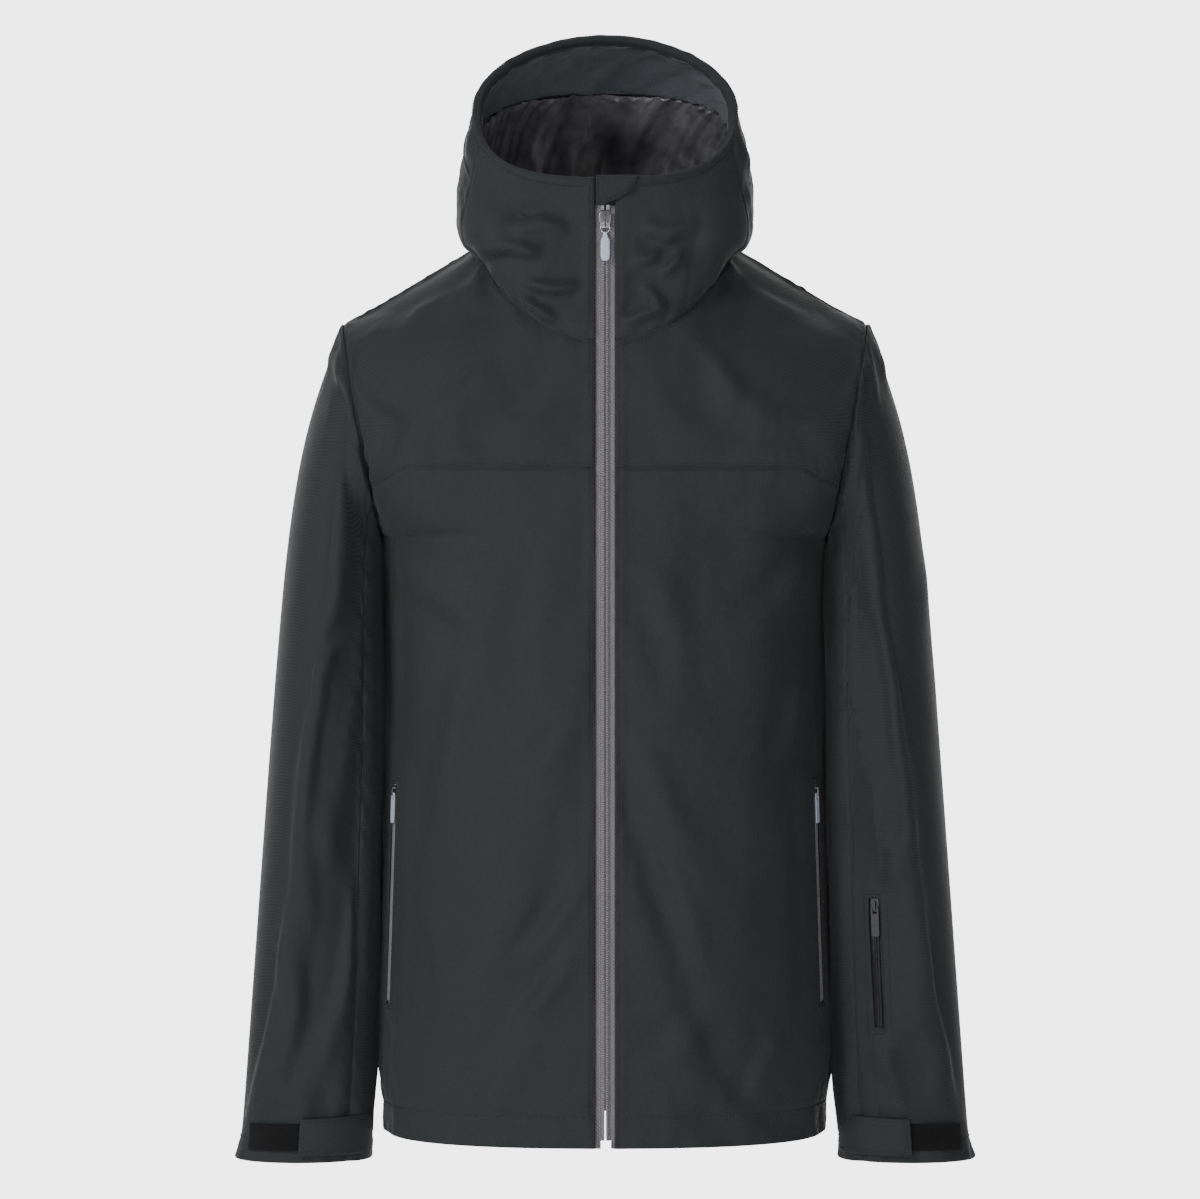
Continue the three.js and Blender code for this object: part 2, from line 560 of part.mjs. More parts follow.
function addHood() {
  for (const [name, side] of SIDES) {
    const surface = hoodSurface(side);
    const collarAngles = [...COLLAR_ANGLES];
    collarAngles[collarAngles.length - 1] -= SEAM_GAP;
    add(jacket, `collar_${name}`, clothSlab(surface, collarAngles, HOOD_ROWS, SHELL), shellCloth);
    const sideAngles = [...HOOD_SIDE_ANGLES];
    sideAngles[sideAngles.length - 1] -= SEAM_GAP;
    add(jacket, `hood_side_${name}`, clothSlab(surface, sideAngles, HOOD_ROWS, SHELL), shellCloth);
  }
  const centre = mirrored(HOOD_CENTRE_ANGLES);
  add(jacket, 'hood_centre', clothSlab(acrossHood, centre, HOOD_ROWS, SHELL), shellCloth);
  const padded = mirrored([6, ...HOOD_ANGLES.slice(1)]);
  add(jacket, 'hood_padding', clothSlab(acrossHood, padded, LOWER_HOOD_ROWS, INSULATION), padding);
  const lined = mirrored([3, ...HOOD_ANGLES.slice(1)]);
  const rows = [...LOWER_HOOD_ROWS.slice(0, -1), FACING_START - FACING_GAP];
  add(jacket, 'hood_lining', clothSlab(acrossHood, lined, rows, LINING), liningCloth);
  add(jacket, 'hood_facing', clothSlab(acrossHood, lined, FACING_ROWS, LINING), shellCloth);
}

// ---------------------------------------------------------------------------
// Zips. Each zip has its own frame: the origin at the top of its slot, +Y down along the zip
// and +Z out of the cloth, with the tape's outer face at Z = 0.
// ---------------------------------------------------------------------------

function frameFrom(origin, along, outward) {
  const y = along.clone().normalize();
  const z = outward.clone().addScaledVector(y, -outward.dot(y)).normalize();
  const x = new THREE.Vector3().crossVectors(y, z);
  return new THREE.Matrix4().makeBasis(x, y, z).setPosition(origin);
}

function mainZipFrame() {
  const depth = frontCentreDepth(MAIN_ZIP_TOP_Z) - MAIN_ZIP.tapeInset;
  const origin = new THREE.Vector3(0, -depth, MAIN_ZIP_TOP_Z);
  return frameFrom(origin, new THREE.Vector3(0, -ZIP_LEAN, -1), new THREE.Vector3(0, -1, ZIP_LEAN));
}

// A point on the flat facet between four surface points.
function facetPoint(surface, columns, rows, across, down, inset) {
  const corner = (i, j) => new THREE.Vector3(...surface(columns[i], rows[j], inset));
  const top = corner(0, 0).lerp(corner(1, 0), across);
  return top.lerp(corner(0, 1).lerp(corner(1, 1), across), down);
}

// A zip that lies in the flat facet of a panel, from one share of its width to another.
function facetZipFrame(surface, columns, rows, shares, downs, side) {
  const at = (across, down) => facetPoint(surface, columns, rows, across, down, POCKET_ZIP.tapeInset);
  const top = at(shares[0], downs[0]);
  const along = at(shares[1], downs[1]).sub(top);
  const middle = (downs[0] + downs[1]) / 2;
  const across = at(1, middle).sub(at(0, middle)).multiplyScalar(side);
  return frameFrom(top, along, new THREE.Vector3().crossVectors(across, along).negate());
}

function handZipFrame(side) {
  const height = POCKET_TOP_Z - POCKET_BOTTOM_Z;
  const downs = [POCKET_MARGIN / height, (POCKET_MARGIN + HAND_ZIP_LENGTH) / height];
  const shares = [0.5 - HAND_ZIP_SLANT, 0.5 + HAND_ZIP_SLANT];
  const surface = panelSurface(-1, side, ZIP_EDGE);
  return facetZipFrame(surface, COLUMNS.slice(5, 7), [2, 3], shares, downs, side);
}

function passZipFrame() {
  const rowZ = (row) => (sleevePoint(1, 90, row, 0)[2] + sleevePoint(1, 135, row, 0)[2]) / 2;
  const height = rowZ(PASS_ROW[0]) - rowZ(PASS_ROW[1]);
  const start = (rowZ(PASS_ROW[0]) - PASS_ZIP_TOP_Z) / height;
  const downs = [start, start + PASS_ZIP_LENGTH / height];
  return facetZipFrame(sleeveSurface(1), [135, 90], PASS_ROW, [0.5, 0.5], downs, 1);
}

// A group placed in a zip's frame, slid down the zip by a distance.
function zipGroup(frame, down = 0) {
  const group = new THREE.Group();
  group.applyMatrix4(frame.clone().multiply(new THREE.Matrix4().makeTranslation(0, down, 0)));
  jacket.add(group);
  return group;
}

// One half of an open-ended chain: a tape and its coil, on the side given by hand.
function addHalfChain(group, name, zip, length, hand) {
  const inner = zip.slot * hand;
  const tape = [inner, zip.tapeHalf * hand].sort((a, b) => a - b);
  add(group, `main_zip_tape_${name}`, block(...tape, 0, length, -zip.tapeThick, 0), greyTape);
  const coil = [inner, zip.chainHalf * hand].sort((a, b) => a - b);
  const coilEnd = length - RETAINER_HEIGHT - SEAM_GAP;
  const coilStart = TOP_STOP_LENGTH + SEAM_GAP;
  add(group, `main_zip_coil_${name}`, block(...coil, coilStart, coilEnd, RUNNING_GAP, zip.coilHeight), greyCoil);
  add(group, `main_zip_top_stop_${name}`, block(...coil, 0, TOP_STOP_LENGTH, RUNNING_GAP, zip.coilHeight), brightMetal);
}

// A closed-end chain: both tapes and coils in one piece, joined past the ends of the slot.
function closedChain(zip, length) {
  const half = (hand) => {
    const tape = [zip.slot * hand, zip.tapeHalf * hand].sort((a, b) => a - b);
    const coil = [zip.slot * hand, zip.chainHalf * hand].sort((a, b) => a - b);
    return join(
      block(...tape, -ZIP_END, length + ZIP_END, -zip.tapeThick, 0),
      block(...coil, 0, length, -zip.tapeThick / 2, zip.coilHeight),
    );
  };
  const bar = (from) => block(-zip.chainHalf, zip.chainHalf, from, from + ZIP_END, -zip.tapeThick, 0);
  return join(half(1), half(-1), bar(-ZIP_END), bar(length));
}

// A slider: a plate over the coils, one under the tapes, a web through the slot between them,
// and a bridge that holds the pull. It reaches from y = 0 to its length.
function sliderGeometry(zip) {
  const low = zip.coilHeight + RUNNING_GAP;
  const top = low + zip.plate;
  const under = -zip.tapeThick - RUNNING_GAP;
  const half = zip.sliderHalf;
  const length = zip.sliderLength;
  const web = zip.slot - RUNNING_GAP;
  const outline = new THREE.Shape([
    [-half * 0.8, 0], [half * 0.8, 0], [half, length * 0.3], [half * 0.72, length],
    [-half * 0.72, length], [-half, length * 0.3],
  ].map(([x, y]) => new THREE.Vector2(x, y)));
  const plate = (z) => {
    const options = { depth: zip.plate, bevelEnabled: false };
    return new THREE.ExtrudeGeometry(outline, options).translate(0, 0, z);
  };
  const rise = zip.bridgeHeight;
  const bar = zip.plate;
  return join(
    plate(low),
    plate(under - zip.plate),
    block(-web, web, 1, length - 1, under - zip.plate / 2, low + bar / 2),
    block(-1, 1, 2, 2 + bar, top - bar / 2, top + rise),
    block(-1, 1, length - 2 - bar, length - 2, top - bar / 2, top + rise),
    block(-1, 1, 2, length - 2, top + rise - bar, top + rise),
  );
}

// Where the pull's bar lies in the bridge, as [y, z] from the slider's upper end.
function pullPivot(zip) {
  const top = zip.coilHeight + RUNNING_GAP + zip.plate;
  const room = zip.bridgeHeight - zip.plate;
  return [zip.sliderLength - 2 - zip.plate - RUNNING_GAP - room * 0.3, top + room / 2];
}

// A flat pull with a window that the slider's bridge passes through.
function pullGeometry(zip, width, length) {
  const bar = 1.2;
  const thick = zip.bridgeHeight - zip.plate - 2 * RUNNING_GAP;
  const half = width / 2;
  const corner = Math.min(2, half / 2);
  const outline = new THREE.Shape();
  outline.moveTo(-half * 0.75, -bar / 2);
  outline.lineTo(half * 0.75, -bar / 2);
  outline.lineTo(half, bar);
  outline.lineTo(half, length - corner);
  outline.quadraticCurveTo(half, length, half - corner, length);
  outline.lineTo(corner - half, length);
  outline.quadraticCurveTo(-half, length, -half, length - corner);
  outline.lineTo(-half, bar);
  const window = half - bar - 0.4;
  const hole = [[-window, bar / 2], [window, bar / 2], [window, bar / 2 + 5], [-window, bar / 2 + 5]];
  outline.holes.push(new THREE.Path(hole.map(([x, y]) => new THREE.Vector2(x, y))));
  const options = { depth: thick, bevelEnabled: false, curveSegments: 3 };
  return new THREE.ExtrudeGeometry(outline, options).translate(0, 0, -thick / 2);
}

function addRunner(prefix, frame, zip, start, materials) {
  const group = zipGroup(frame, start);
  add(group, `${prefix}_slider`, sliderGeometry(zip), materials.slider);
  const pull = new THREE.Group();
  const [y, z] = pullPivot(zip);
  pull.position.set(0, y, z);
  group.add(pull);
  return pull;
}

const MAIN_RING_LENGTH = 8.5;    // the metal ring between the main slider and its cloth pull

function addMainZip() {
  const frame = mainZipFrame();
  const length = (MAIN_ZIP_TOP_Z - HEM_Z) * Math.hypot(1, ZIP_LEAN);
  const group = zipGroup(frame);
  const zip = MAIN_ZIP;
  // Seen from the front, the zip's own +X is the wearer's right.
  addHalfChain(group, 'right', zip, length, 1);
  addHalfChain(group, 'left', zip, length, -1);
  const lower = [length - RETAINER_HEIGHT, length];
  const box = block(-zip.chainHalf - 1.2, zip.chainHalf, ...lower, RUNNING_GAP, zip.coilHeight + 0.6);
  add(group, 'main_zip_retainer_box', box, brightMetal);
  const runner = addRunner('main_zip', frame, zip, TOP_STOP_LENGTH + 1, { slider: darkMetal });
  add(runner, 'main_zip_ring', pullGeometry(zip, zip.pullWidth, MAIN_RING_LENGTH), brightMetal);
  const thick = 1.8;
  const bar = block(-zip.pullWidth / 2, zip.pullWidth / 2, MAIN_RING_LENGTH + SEAM_GAP,
    MAIN_RING_LENGTH + zip.pullLength, -thick / 2, thick / 2);
  add(runner, 'main_zip_pull', bar, pullCloth);
}

function addPocketZip(prefix, frame, length, materials) {
  add(zipGroup(frame), `${prefix}_zip`, closedChain(POCKET_ZIP, length), materials.chain);
  const pull = addRunner(prefix, frame, POCKET_ZIP, 1, materials);
  add(pull, `${prefix}_pull`, pullGeometry(POCKET_ZIP, POCKET_ZIP.pullWidth, POCKET_ZIP.pullLength), materials.pull);
}

// ---------------------------------------------------------------------------
// Trim
// ---------------------------------------------------------------------------

function addChinGuard() {
  const { left, right, height, corner, thick, lift } = CHIN_GUARD;
  const outline = new THREE.Shape();
  outline.moveTo(left, -height);
  outline.lineTo(right, -height);
  outline.lineTo(right, -corner);
  outline.quadraticCurveTo(right, 0, right - corner, 0);
  outline.lineTo(left, 0);
  const options = { depth: thick, bevelEnabled: false, curveSegments: 5 };
  // In the zip's frame +X is the wearer's right, so the flap is turned over to reach left.
  const flap = new THREE.ExtrudeGeometry(outline, options).rotateY(Math.PI);
  const group = zipGroup(mainZipFrame());
  const front = MAIN_ZIP.tapeInset + lift;
  add(group, 'chin_guard', flap.translate(0, 0, front + thick), shellCloth);
}

function addCuff(name, side) {
  const surface = sleeveSurface(side);
  const border = PATCH_BORDER / SLEEVE_LENGTH;
  const rows = [TAB_ROW[0] + border, TAB_ROW[1] - border];
  const loops = clothSlab(surface, [40, 54, 90, 135], rows, LOOP_PATCH);
  add(jacket, `cuff_loop_patch_${name}`, loops, loopTape);
  add(jacket, `cuff_hook_patch_${name}`, clothSlab(surface, [90, 135], rows, HOOK_PATCH), hookTape);
  add(jacket, `cuff_tab_${name}`, clothSlab(surface, [90, 135, 165], TAB_ROW, CUFF_TAB), shellCloth);
}

function addHangerLoop() {
  const { width, height, cord, strap } = HANGER_LOOP;
  const half = width / 2;
  const outline = new THREE.Shape();
  outline.moveTo(-half, 0);
  outline.lineTo(-half, height - 8);
  outline.quadraticCurveTo(-half, height, 8 - half, height);
  outline.lineTo(half - 8, height);
  outline.quadraticCurveTo(half, height, half, height - 8);
  outline.lineTo(half, 0);
  outline.lineTo(half - cord, 0);
  outline.lineTo(half - cord, height - cord - 3);
  outline.quadraticCurveTo(half - cord, height - cord, half - cord - 3, height - cord);
  outline.lineTo(cord + 3 - half, height - cord);
  outline.quadraticCurveTo(cord - half, height - cord, cord - half, height - cord - 3);
  outline.lineTo(cord - half, 0);
  const options = { depth: strap, bevelEnabled: false, curveSegments: 4 };
  const loop = new THREE.ExtrudeGeometry(outline, options).rotateX(Math.PI / 2);
  const nape = neckSeam(180);
  const clearance = 3;
  add(jacket, 'hanger_loop', loop.translate(0, nape.y - LINING.inner - clearance, nape.z), liningCloth);
}

addBody();
addHood();
for (const [name, side] of SIDES) {
  addSleeve(name, side);
  addCuff(name, side);
  const metal = { chain: greyCoil, slider: darkMetal, pull: pullCloth };
  addPocketZip(`hand_pocket_${name}`, handZipFrame(side), HAND_ZIP_LENGTH, metal);
}
const black = { chain: blackZip, slider: blackZip, pull: blackZip };
addPocketZip('pass_pocket', passZipFrame(), PASS_ZIP_LENGTH, black);
const passBag = clothSlab(sleeveSurface(1), [90, 135], PASS_ROW, PASS_BAG);
add(jacket, 'pass_pocket_bag', passBag, pocketCloth);
addMainZip();
addChinGuard();
addHangerLoop();

export default jacket;
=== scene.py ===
# Ski jacket: the looks. Every cloth piece is a fine grid on the same surfaces as the frame's solids,
# draped by cloth simulation where it hangs, then folded, sewn and given its weave.
# Grids are worked out in millimetres and turned into metres when their mesh is made.
import json
import math

import bpy
import numpy as np
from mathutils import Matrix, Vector


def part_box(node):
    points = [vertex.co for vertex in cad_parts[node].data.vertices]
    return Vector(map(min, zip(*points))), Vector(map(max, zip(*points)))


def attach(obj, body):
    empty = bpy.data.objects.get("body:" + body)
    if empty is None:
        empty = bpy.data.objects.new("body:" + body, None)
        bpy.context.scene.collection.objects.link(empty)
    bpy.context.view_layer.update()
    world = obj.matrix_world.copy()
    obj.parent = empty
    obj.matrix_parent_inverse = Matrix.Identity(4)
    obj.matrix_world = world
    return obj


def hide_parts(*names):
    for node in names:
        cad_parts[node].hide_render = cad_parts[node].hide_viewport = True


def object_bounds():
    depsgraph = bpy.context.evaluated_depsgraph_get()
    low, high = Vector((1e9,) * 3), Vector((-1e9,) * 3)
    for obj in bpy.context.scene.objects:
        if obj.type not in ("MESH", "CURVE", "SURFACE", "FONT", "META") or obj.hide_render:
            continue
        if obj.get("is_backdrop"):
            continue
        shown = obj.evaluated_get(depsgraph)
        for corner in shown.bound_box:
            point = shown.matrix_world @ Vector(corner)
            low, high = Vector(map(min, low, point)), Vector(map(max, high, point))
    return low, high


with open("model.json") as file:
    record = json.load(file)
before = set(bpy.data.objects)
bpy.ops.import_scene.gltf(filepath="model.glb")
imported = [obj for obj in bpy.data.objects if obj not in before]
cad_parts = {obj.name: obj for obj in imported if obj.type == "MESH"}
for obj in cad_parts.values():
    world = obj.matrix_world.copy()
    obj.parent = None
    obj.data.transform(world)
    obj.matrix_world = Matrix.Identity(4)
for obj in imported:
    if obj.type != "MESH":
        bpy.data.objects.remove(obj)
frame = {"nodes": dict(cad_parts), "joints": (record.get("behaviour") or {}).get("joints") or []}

CAD_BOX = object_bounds()
MM = 0.001


def node_box(name):
    """Lowest and highest corner of a frame node, in millimetres."""
    low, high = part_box(name)
    return np.array(low) / MM, np.array(high) / MM


# ---- Sizes read from the frame ----
PANEL_LOW = node_box("front_panel_left")[0]
YOKE_HIGH = node_box("front_yoke_left")[1]
HEM_Z = PANEL_LOW[2]
NECK_POINT_Z = YOKE_HIGH[2]
TIP_X = YOKE_HIGH[0]
CUFF_Z = node_box("upper_sleeve_left")[0][2]
ZIP_EDGE = PANEL_LOW[0]
ZIP_TOP_Z = node_box("main_zip_tape_left")[1][2]

# ---- Sizes of the cut, the same as the frame's ----
BODY_HALF_WIDTH = TIP_X - 34
SIDE_STATIONS = [[HEM_Z, BODY_HALF_WIDTH - 4], [NECK_POINT_Z - 680, BODY_HALF_WIDTH + 3],
                 [NECK_POINT_Z - 400, BODY_HALF_WIDTH - 2], [NECK_POINT_Z - 251, BODY_HALF_WIDTH]]
FRONT_DEPTH_HEM, FRONT_DEPTH_CHIN = 128, 105
BACK_DEPTH, BACK_DEPTH_NECK = 125, 104
BODY_ROUNDNESS = 2.4
NECK_HALF_WIDTH = 107
FRONT_NECK_DROP, BACK_NECK_DROP = 91, 14
SHOULDER_DROP, SHOULDER_ROLL = 70, 140
ARMHOLE_HEIGHT, ARMHOLE_HALF_DEPTH = 181, 80
FRONT_YOKE_DROP, BACK_YOKE_DROP, YOKE_CORNER_DROP = 197, 160, 14
SLEEVE_CLEARANCE, ELBOW_HALF_DEPTH, CUFF_HALF_DEPTH = 2, 74, 43
CUFF_STAND_OFF, CUFF_FLARE, ARM_FORWARD = 13, 93, 12
COLLAR_HEIGHT, HOOD_HEIGHT, RIM_HALF_WIDTH, RIM_TOP_BACK = 135, 135, 110, 115
HOOD_SIDE_BULGE, HOOD_BACK_BULGE, CROWN_BULGE = 30, 70, 95
LOWER_RIM_ROUNDNESS, UPPER_RIM_ROUNDNESS = 2.6, 1.9
SET_IN_GAP = 0.8
TIP_Z = NECK_POINT_Z - SHOULDER_DROP
ARMPIT_Z = TIP_Z - ARMHOLE_HEIGHT
SHOULDER_SLOPE = SHOULDER_DROP / (TIP_X - NECK_HALF_WIDTH)
SLOPE_STRETCH = math.hypot(1, SHOULDER_SLOPE)
CHIN_Z = NECK_POINT_Z - FRONT_NECK_DROP + COLLAR_HEIGHT
ZIP_LEAN = (FRONT_DEPTH_HEM - FRONT_DEPTH_CHIN) / (CHIN_Z - HEM_Z)

# ---- Camera and light ----
VIEW_DISTANCE = 3.5
FRAME_WIDTH = 1.032              # width of the view at the jacket's side seams, in metres
CAMERA_X, CAMERA_Z = -0.0043, -0.3006
SENSOR = 36


def add_camera():
    """A level camera in front of the jacket, far enough for a flat view."""
    data = bpy.data.cameras.new("camera")
    data.sensor_width = SENSOR
    data.lens = SENSOR * VIEW_DISTANCE / FRAME_WIDTH
    camera = bpy.data.objects.new("camera", data)
    camera.location = (CAMERA_X, -VIEW_DISTANCE, CAMERA_Z)
    camera.rotation_euler = (math.pi / 2, 0, 0)
    bpy.context.scene.collection.objects.link(camera)
    bpy.context.scene.camera = camera


def add_area_light(name, place, aim, size, power):
    data = bpy.data.lights.new(name, "AREA")
    data.shape = "RECTANGLE"
    data.size, data.size_y = size
    data.energy = power
    light = bpy.data.objects.new(name, data)
    light.location = place
    turn = np.array(aim) - np.array(place)
    light.rotation_euler = Vector(turn).to_track_quat("-Z", "Y").to_euler()
    bpy.context.scene.collection.objects.link(light)


FLOOR_Z = -1.02
FLOOR_SIDE, FLOOR_FRONT, FLOOR_BACK = 2.4, -2.6, 1.3
WORLD_FRONT, WORLD_BACK = 0.36, 4.2   # the studio's wall behind the jacket is the brightest
WALL_START, WALL_END = 0.62, 0.95     # where the light rises from one to the other
# Each lamp's place, the point it shines at, its width and height, and its power
LAMPS = {
    "key": ((-2.4, -2.2, 1.3), (0, 0, -0.3), (1.2, 1.2), 94),
    "fill": ((1.7, -3.2, -0.2), (0, 0, -0.25), (1.2, 1.2), 16),
    "bounce": ((-0.5, -2.5, -0.9), (0, 0.05, 0.15), (1.6, 0.8), 50),
    "top": ((0.3, 0.6, 2.4), (0, 0, -0.2), (1.4, 1.0), 10),
}


def add_world():
    """A white studio, dim in front of the jacket and bright behind it."""
    world = bpy.data.worlds.new("studio")
    bpy.context.scene.world = world
    world.use_nodes = True
    tree = world.node_tree
    background = tree.nodes["Background"]
    background.inputs["Color"].default_value = (1, 1, 1, 1)
    place = tree.nodes.new("ShaderNodeTexCoord")
    split = tree.nodes.new("ShaderNodeSeparateXYZ")
    level = tree.nodes.new("ShaderNodeMapRange")
    level.interpolation_type = "SMOOTHSTEP"
    level.inputs["From Min"].default_value = WALL_START
    level.inputs["From Max"].default_value = WALL_END
    level.inputs["To Min"].default_value = WORLD_FRONT
    level.inputs["To Max"].default_value = WORLD_BACK
    tree.links.new(place.outputs["Generated"], split.inputs[0])
    tree.links.new(split.outputs["Y"], level.inputs["Value"])
    tree.links.new(level.outputs["Result"], background.inputs["Strength"])


def add_floor():
    data = bpy.data.meshes.new("floor")
    corners = [(-FLOOR_SIDE, FLOOR_FRONT, FLOOR_Z), (FLOOR_SIDE, FLOOR_FRONT, FLOOR_Z),
               (FLOOR_SIDE, FLOOR_BACK, FLOOR_Z), (-FLOOR_SIDE, FLOOR_BACK, FLOOR_Z)]
    data.from_pydata(corners, [], [(0, 1, 2, 3)])
    data.materials.append(material("studio_floor", (0.86, 0.86, 0.86), 0.9))
    piece = bpy.data.objects.new("floor", data)
    bpy.context.scene.collection.objects.link(piece)
    piece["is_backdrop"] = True


def add_studio():
    add_world()
    for name, (place, aim, size, power) in LAMPS.items():
        add_area_light(name, place, aim, size, power)
    add_floor()


# ---- Materials ----


def material(name, colour, roughness, metallic=0.0, sheen=0.0):
    made = bpy.data.materials.new(name)
    made.use_nodes = True
    shader = made.node_tree.nodes["Principled BSDF"]
    shader.inputs["Base Color"].default_value = (*colour, 1)
    shader.inputs["Roughness"].default_value = roughness
    shader.inputs["Metallic"].default_value = metallic
    shader.inputs["Sheen Weight"].default_value = sheen
    return made


class Nodes:
    """A short way to add shader nodes to a material."""

    def __init__(self, made):
        self.tree = made.node_tree
        self.shader = self.tree.nodes["Principled BSDF"]

    def add(self, kind, **settings):
        node = self.tree.nodes.new(kind)
        for key, value in settings.items():
            if key in node.inputs:
                node.inputs[key].default_value = value
            else:
                setattr(node, key, value)
        return node

    def link(self, source, target):
        self.tree.links.new(source, target)

    def maths(self, operation, first, second=None, third=None):
        node = self.tree.nodes.new("ShaderNodeMath")
        node.operation = operation
        for place, value in enumerate((first, second, third)):
            if value is None:
                continue
            if isinstance(value, (int, float)):
                node.inputs[place].default_value = value
            else:
                self.link(value, node.inputs[place])
        return node.outputs[0]

    def weighted(self, first, share, second, other_share):
        """The sum of two values, each times its share."""
        parts = [self.maths("MULTIPLY", *part) for part in ((first, share), (second, other_share))]
        return self.maths("ADD", *parts)

    def place(self):
        return self.add("ShaderNodeTexCoord").outputs["Object"]

    def coordinates(self, scale):
        source = self.add("ShaderNodeTexCoord")
        mapping = self.add("ShaderNodeMapping")
        mapping.inputs["Scale"].default_value = scale
        self.link(source.outputs["UV"], mapping.inputs["Vector"])
        return mapping.outputs["Vector"]

    def noise(self, vector, scale, detail=4.0, roughness=0.6):
        node = self.add("ShaderNodeTexNoise")
        node.inputs["Scale"].default_value = scale
        node.inputs["Detail"].default_value = detail
        node.inputs["Roughness"].default_value = roughness
        self.link(vector, node.inputs["Vector"])
        return node.outputs["Fac"]

    def wave(self, vector, scale, direction, distortion=0.0):
        node = self.add("ShaderNodeTexWave")
        node.bands_direction = direction
        node.inputs["Scale"].default_value = scale
        node.inputs["Distortion"].default_value = distortion
        node.inputs["Detail Scale"].default_value = 1.0
        self.link(vector, node.inputs["Vector"])
        return node.outputs["Fac"]

    def ramp(self, fac, low, high, start=0.3, end=0.7):
        node = self.add("ShaderNodeValToRGB")
        node.color_ramp.elements[0].position = start
        node.color_ramp.elements[1].position = end
        node.color_ramp.elements[0].color = (*low, 1)
        node.color_ramp.elements[1].color = (*high, 1)
        self.link(fac, node.inputs["Fac"])
        return node.outputs["Color"]

    def bump(self, height, strength, distance):
        node = self.add("ShaderNodeBump")
        node.inputs["Strength"].default_value = strength
        node.inputs["Distance"].default_value = distance
        self.link(height, node.inputs["Height"])
        return node.outputs["Normal"]

    def spread(self, fac, low, high):
        node = self.add("ShaderNodeMapRange")
        node.inputs["To Min"].default_value = low
        node.inputs["To Max"].default_value = high
        self.link(fac, node.inputs["Value"])
        return node.outputs["Result"]


CLOTH_SPECULAR = 0.3


def woven(name, dark, light, roughness, yarn, bump, sheen=0.0, twill=False, mottle=0.5, rib=0.3):
    """Cloth woven from yarns of a pitch in metres, with slubs, mottling and a fine bump."""
    made = material(name, dark, roughness, sheen=sheen)
    made.node_tree.nodes["Principled BSDF"].inputs["Specular IOR Level"].default_value = CLOTH_SPECULAR
    nodes = Nodes(made)
    plain = nodes.coordinates((1, 1, 1))
    bands = math.pi / 10 / yarn
    warp = nodes.wave(plain, bands, "X", 0.6)
    weft = nodes.wave(plain, bands, "DIAGONAL" if twill else "Y", 0.6)
    weave = nodes.maths("MULTIPLY", warp, weft)
    slub = nodes.noise(nodes.coordinates((1, 0.12, 1)), 900, 3)
    fleck = nodes.noise(plain, 1400, 2)
    cloud = nodes.noise(plain, 9, 5)
    grain = nodes.weighted(slub, 0.5, fleck, 0.5)
    tone = nodes.weighted(grain, 1 - mottle, cloud, mottle)
    tone = nodes.maths("ADD", tone, nodes.maths("MULTIPLY_ADD", weave, rib, -0.25 * rib))
    nodes.link(nodes.ramp(tone, dark, light), nodes.shader.inputs["Base Color"])
    rough = nodes.spread(cloud, roughness - 0.06, roughness + 0.06)
    nodes.link(rough, nodes.shader.inputs["Roughness"])
    height = nodes.weighted(weave, 0.7, grain, 0.6)
    nodes.link(nodes.bump(height, bump, yarn * 0.3), nodes.shader.inputs["Normal"])
    return made


def satin(name, dark, light, roughness):
    """Smooth taffeta: a fine cross-rib, a satin gloss and small crush marks."""
    made = material(name, dark, roughness)
    nodes = Nodes(made)
    plain = nodes.coordinates((1, 1, 1))
    rib = nodes.wave(plain, 330, "Y", 0.8)
    crush = nodes.noise(plain, 60, 6, 0.55)
    nodes.link(nodes.ramp(crush, dark, light), nodes.shader.inputs["Base Color"])
    nodes.link(nodes.spread(crush, roughness - 0.05, roughness + 0.12), nodes.shader.inputs["Roughness"])
    height = nodes.maths("ADD", nodes.maths("MULTIPLY", rib, 0.12), crush)
    nodes.link(nodes.bump(height, 0.35, 0.0012), nodes.shader.inputs["Normal"])
    return made


def brushed_metal(name, colour, roughness):
    made = material(name, colour, roughness, metallic=1.0)
    nodes = Nodes(made)
    scratch = nodes.noise(nodes.place(), 1800, 4)
    nodes.link(nodes.spread(scratch, roughness - 0.08, roughness + 0.15), nodes.shader.inputs["Roughness"])
    nodes.link(nodes.bump(scratch, 0.15, 0.0002), nodes.shader.inputs["Normal"])
    return made


def grained(name, dark, light, roughness, noise=(900, 5, 0.6), bump=(0.3, 0.0003), sheen=0.0, specular=0.5):
    """A fine grain; noise is its scale, detail and roughness, and bump its strength and distance."""
    made = material(name, dark, roughness, sheen=sheen)
    made.node_tree.nodes["Principled BSDF"].inputs["Specular IOR Level"].default_value = specular
    nodes = Nodes(made)
    grain = nodes.noise(nodes.place(), *noise)
    nodes.link(nodes.ramp(grain, dark, light), nodes.shader.inputs["Base Color"])
    nodes.link(nodes.bump(grain, *bump), nodes.shader.inputs["Normal"])
    return made


NAP = {"roughness": 1.0, "noise": (1500, 6, 0.75), "bump": (1.0, 0.0009), "sheen": 0.04, "specular": 0.1}
TWILL = {"roughness": 0.74, "yarn": 0.0013, "bump": 0.6, "twill": True, "mottle": 0.4}
SHELL = woven("shell_cloth", (0.0056, 0.0069, 0.0080), (0.0137, 0.0163, 0.0185), sheen=0.05, **TWILL)
# A lighter copy of the shell cloth for the hood's facing: painted light, standing in for the light that falls
# on the facing inside the hood.
LIT_FACING_CLOTH = woven("facing_cloth", (0.031, 0.0355, 0.041), (0.066, 0.0745, 0.084), sheen=0.08, **TWILL)
LINING = satin("lining_taffeta", (0.038, 0.0365, 0.041), (0.088, 0.085, 0.098), 0.33)
THREAD = grained("sewing_thread", (0.004, 0.004, 0.005), (0.012, 0.012, 0.014), 0.6)
PADDING = grained("padding", (0.55, 0.55, 0.53), (0.8, 0.8, 0.78), 1.0, (260, 8, 0.7), (0.8, 0.002),
                  sheen=0.3)
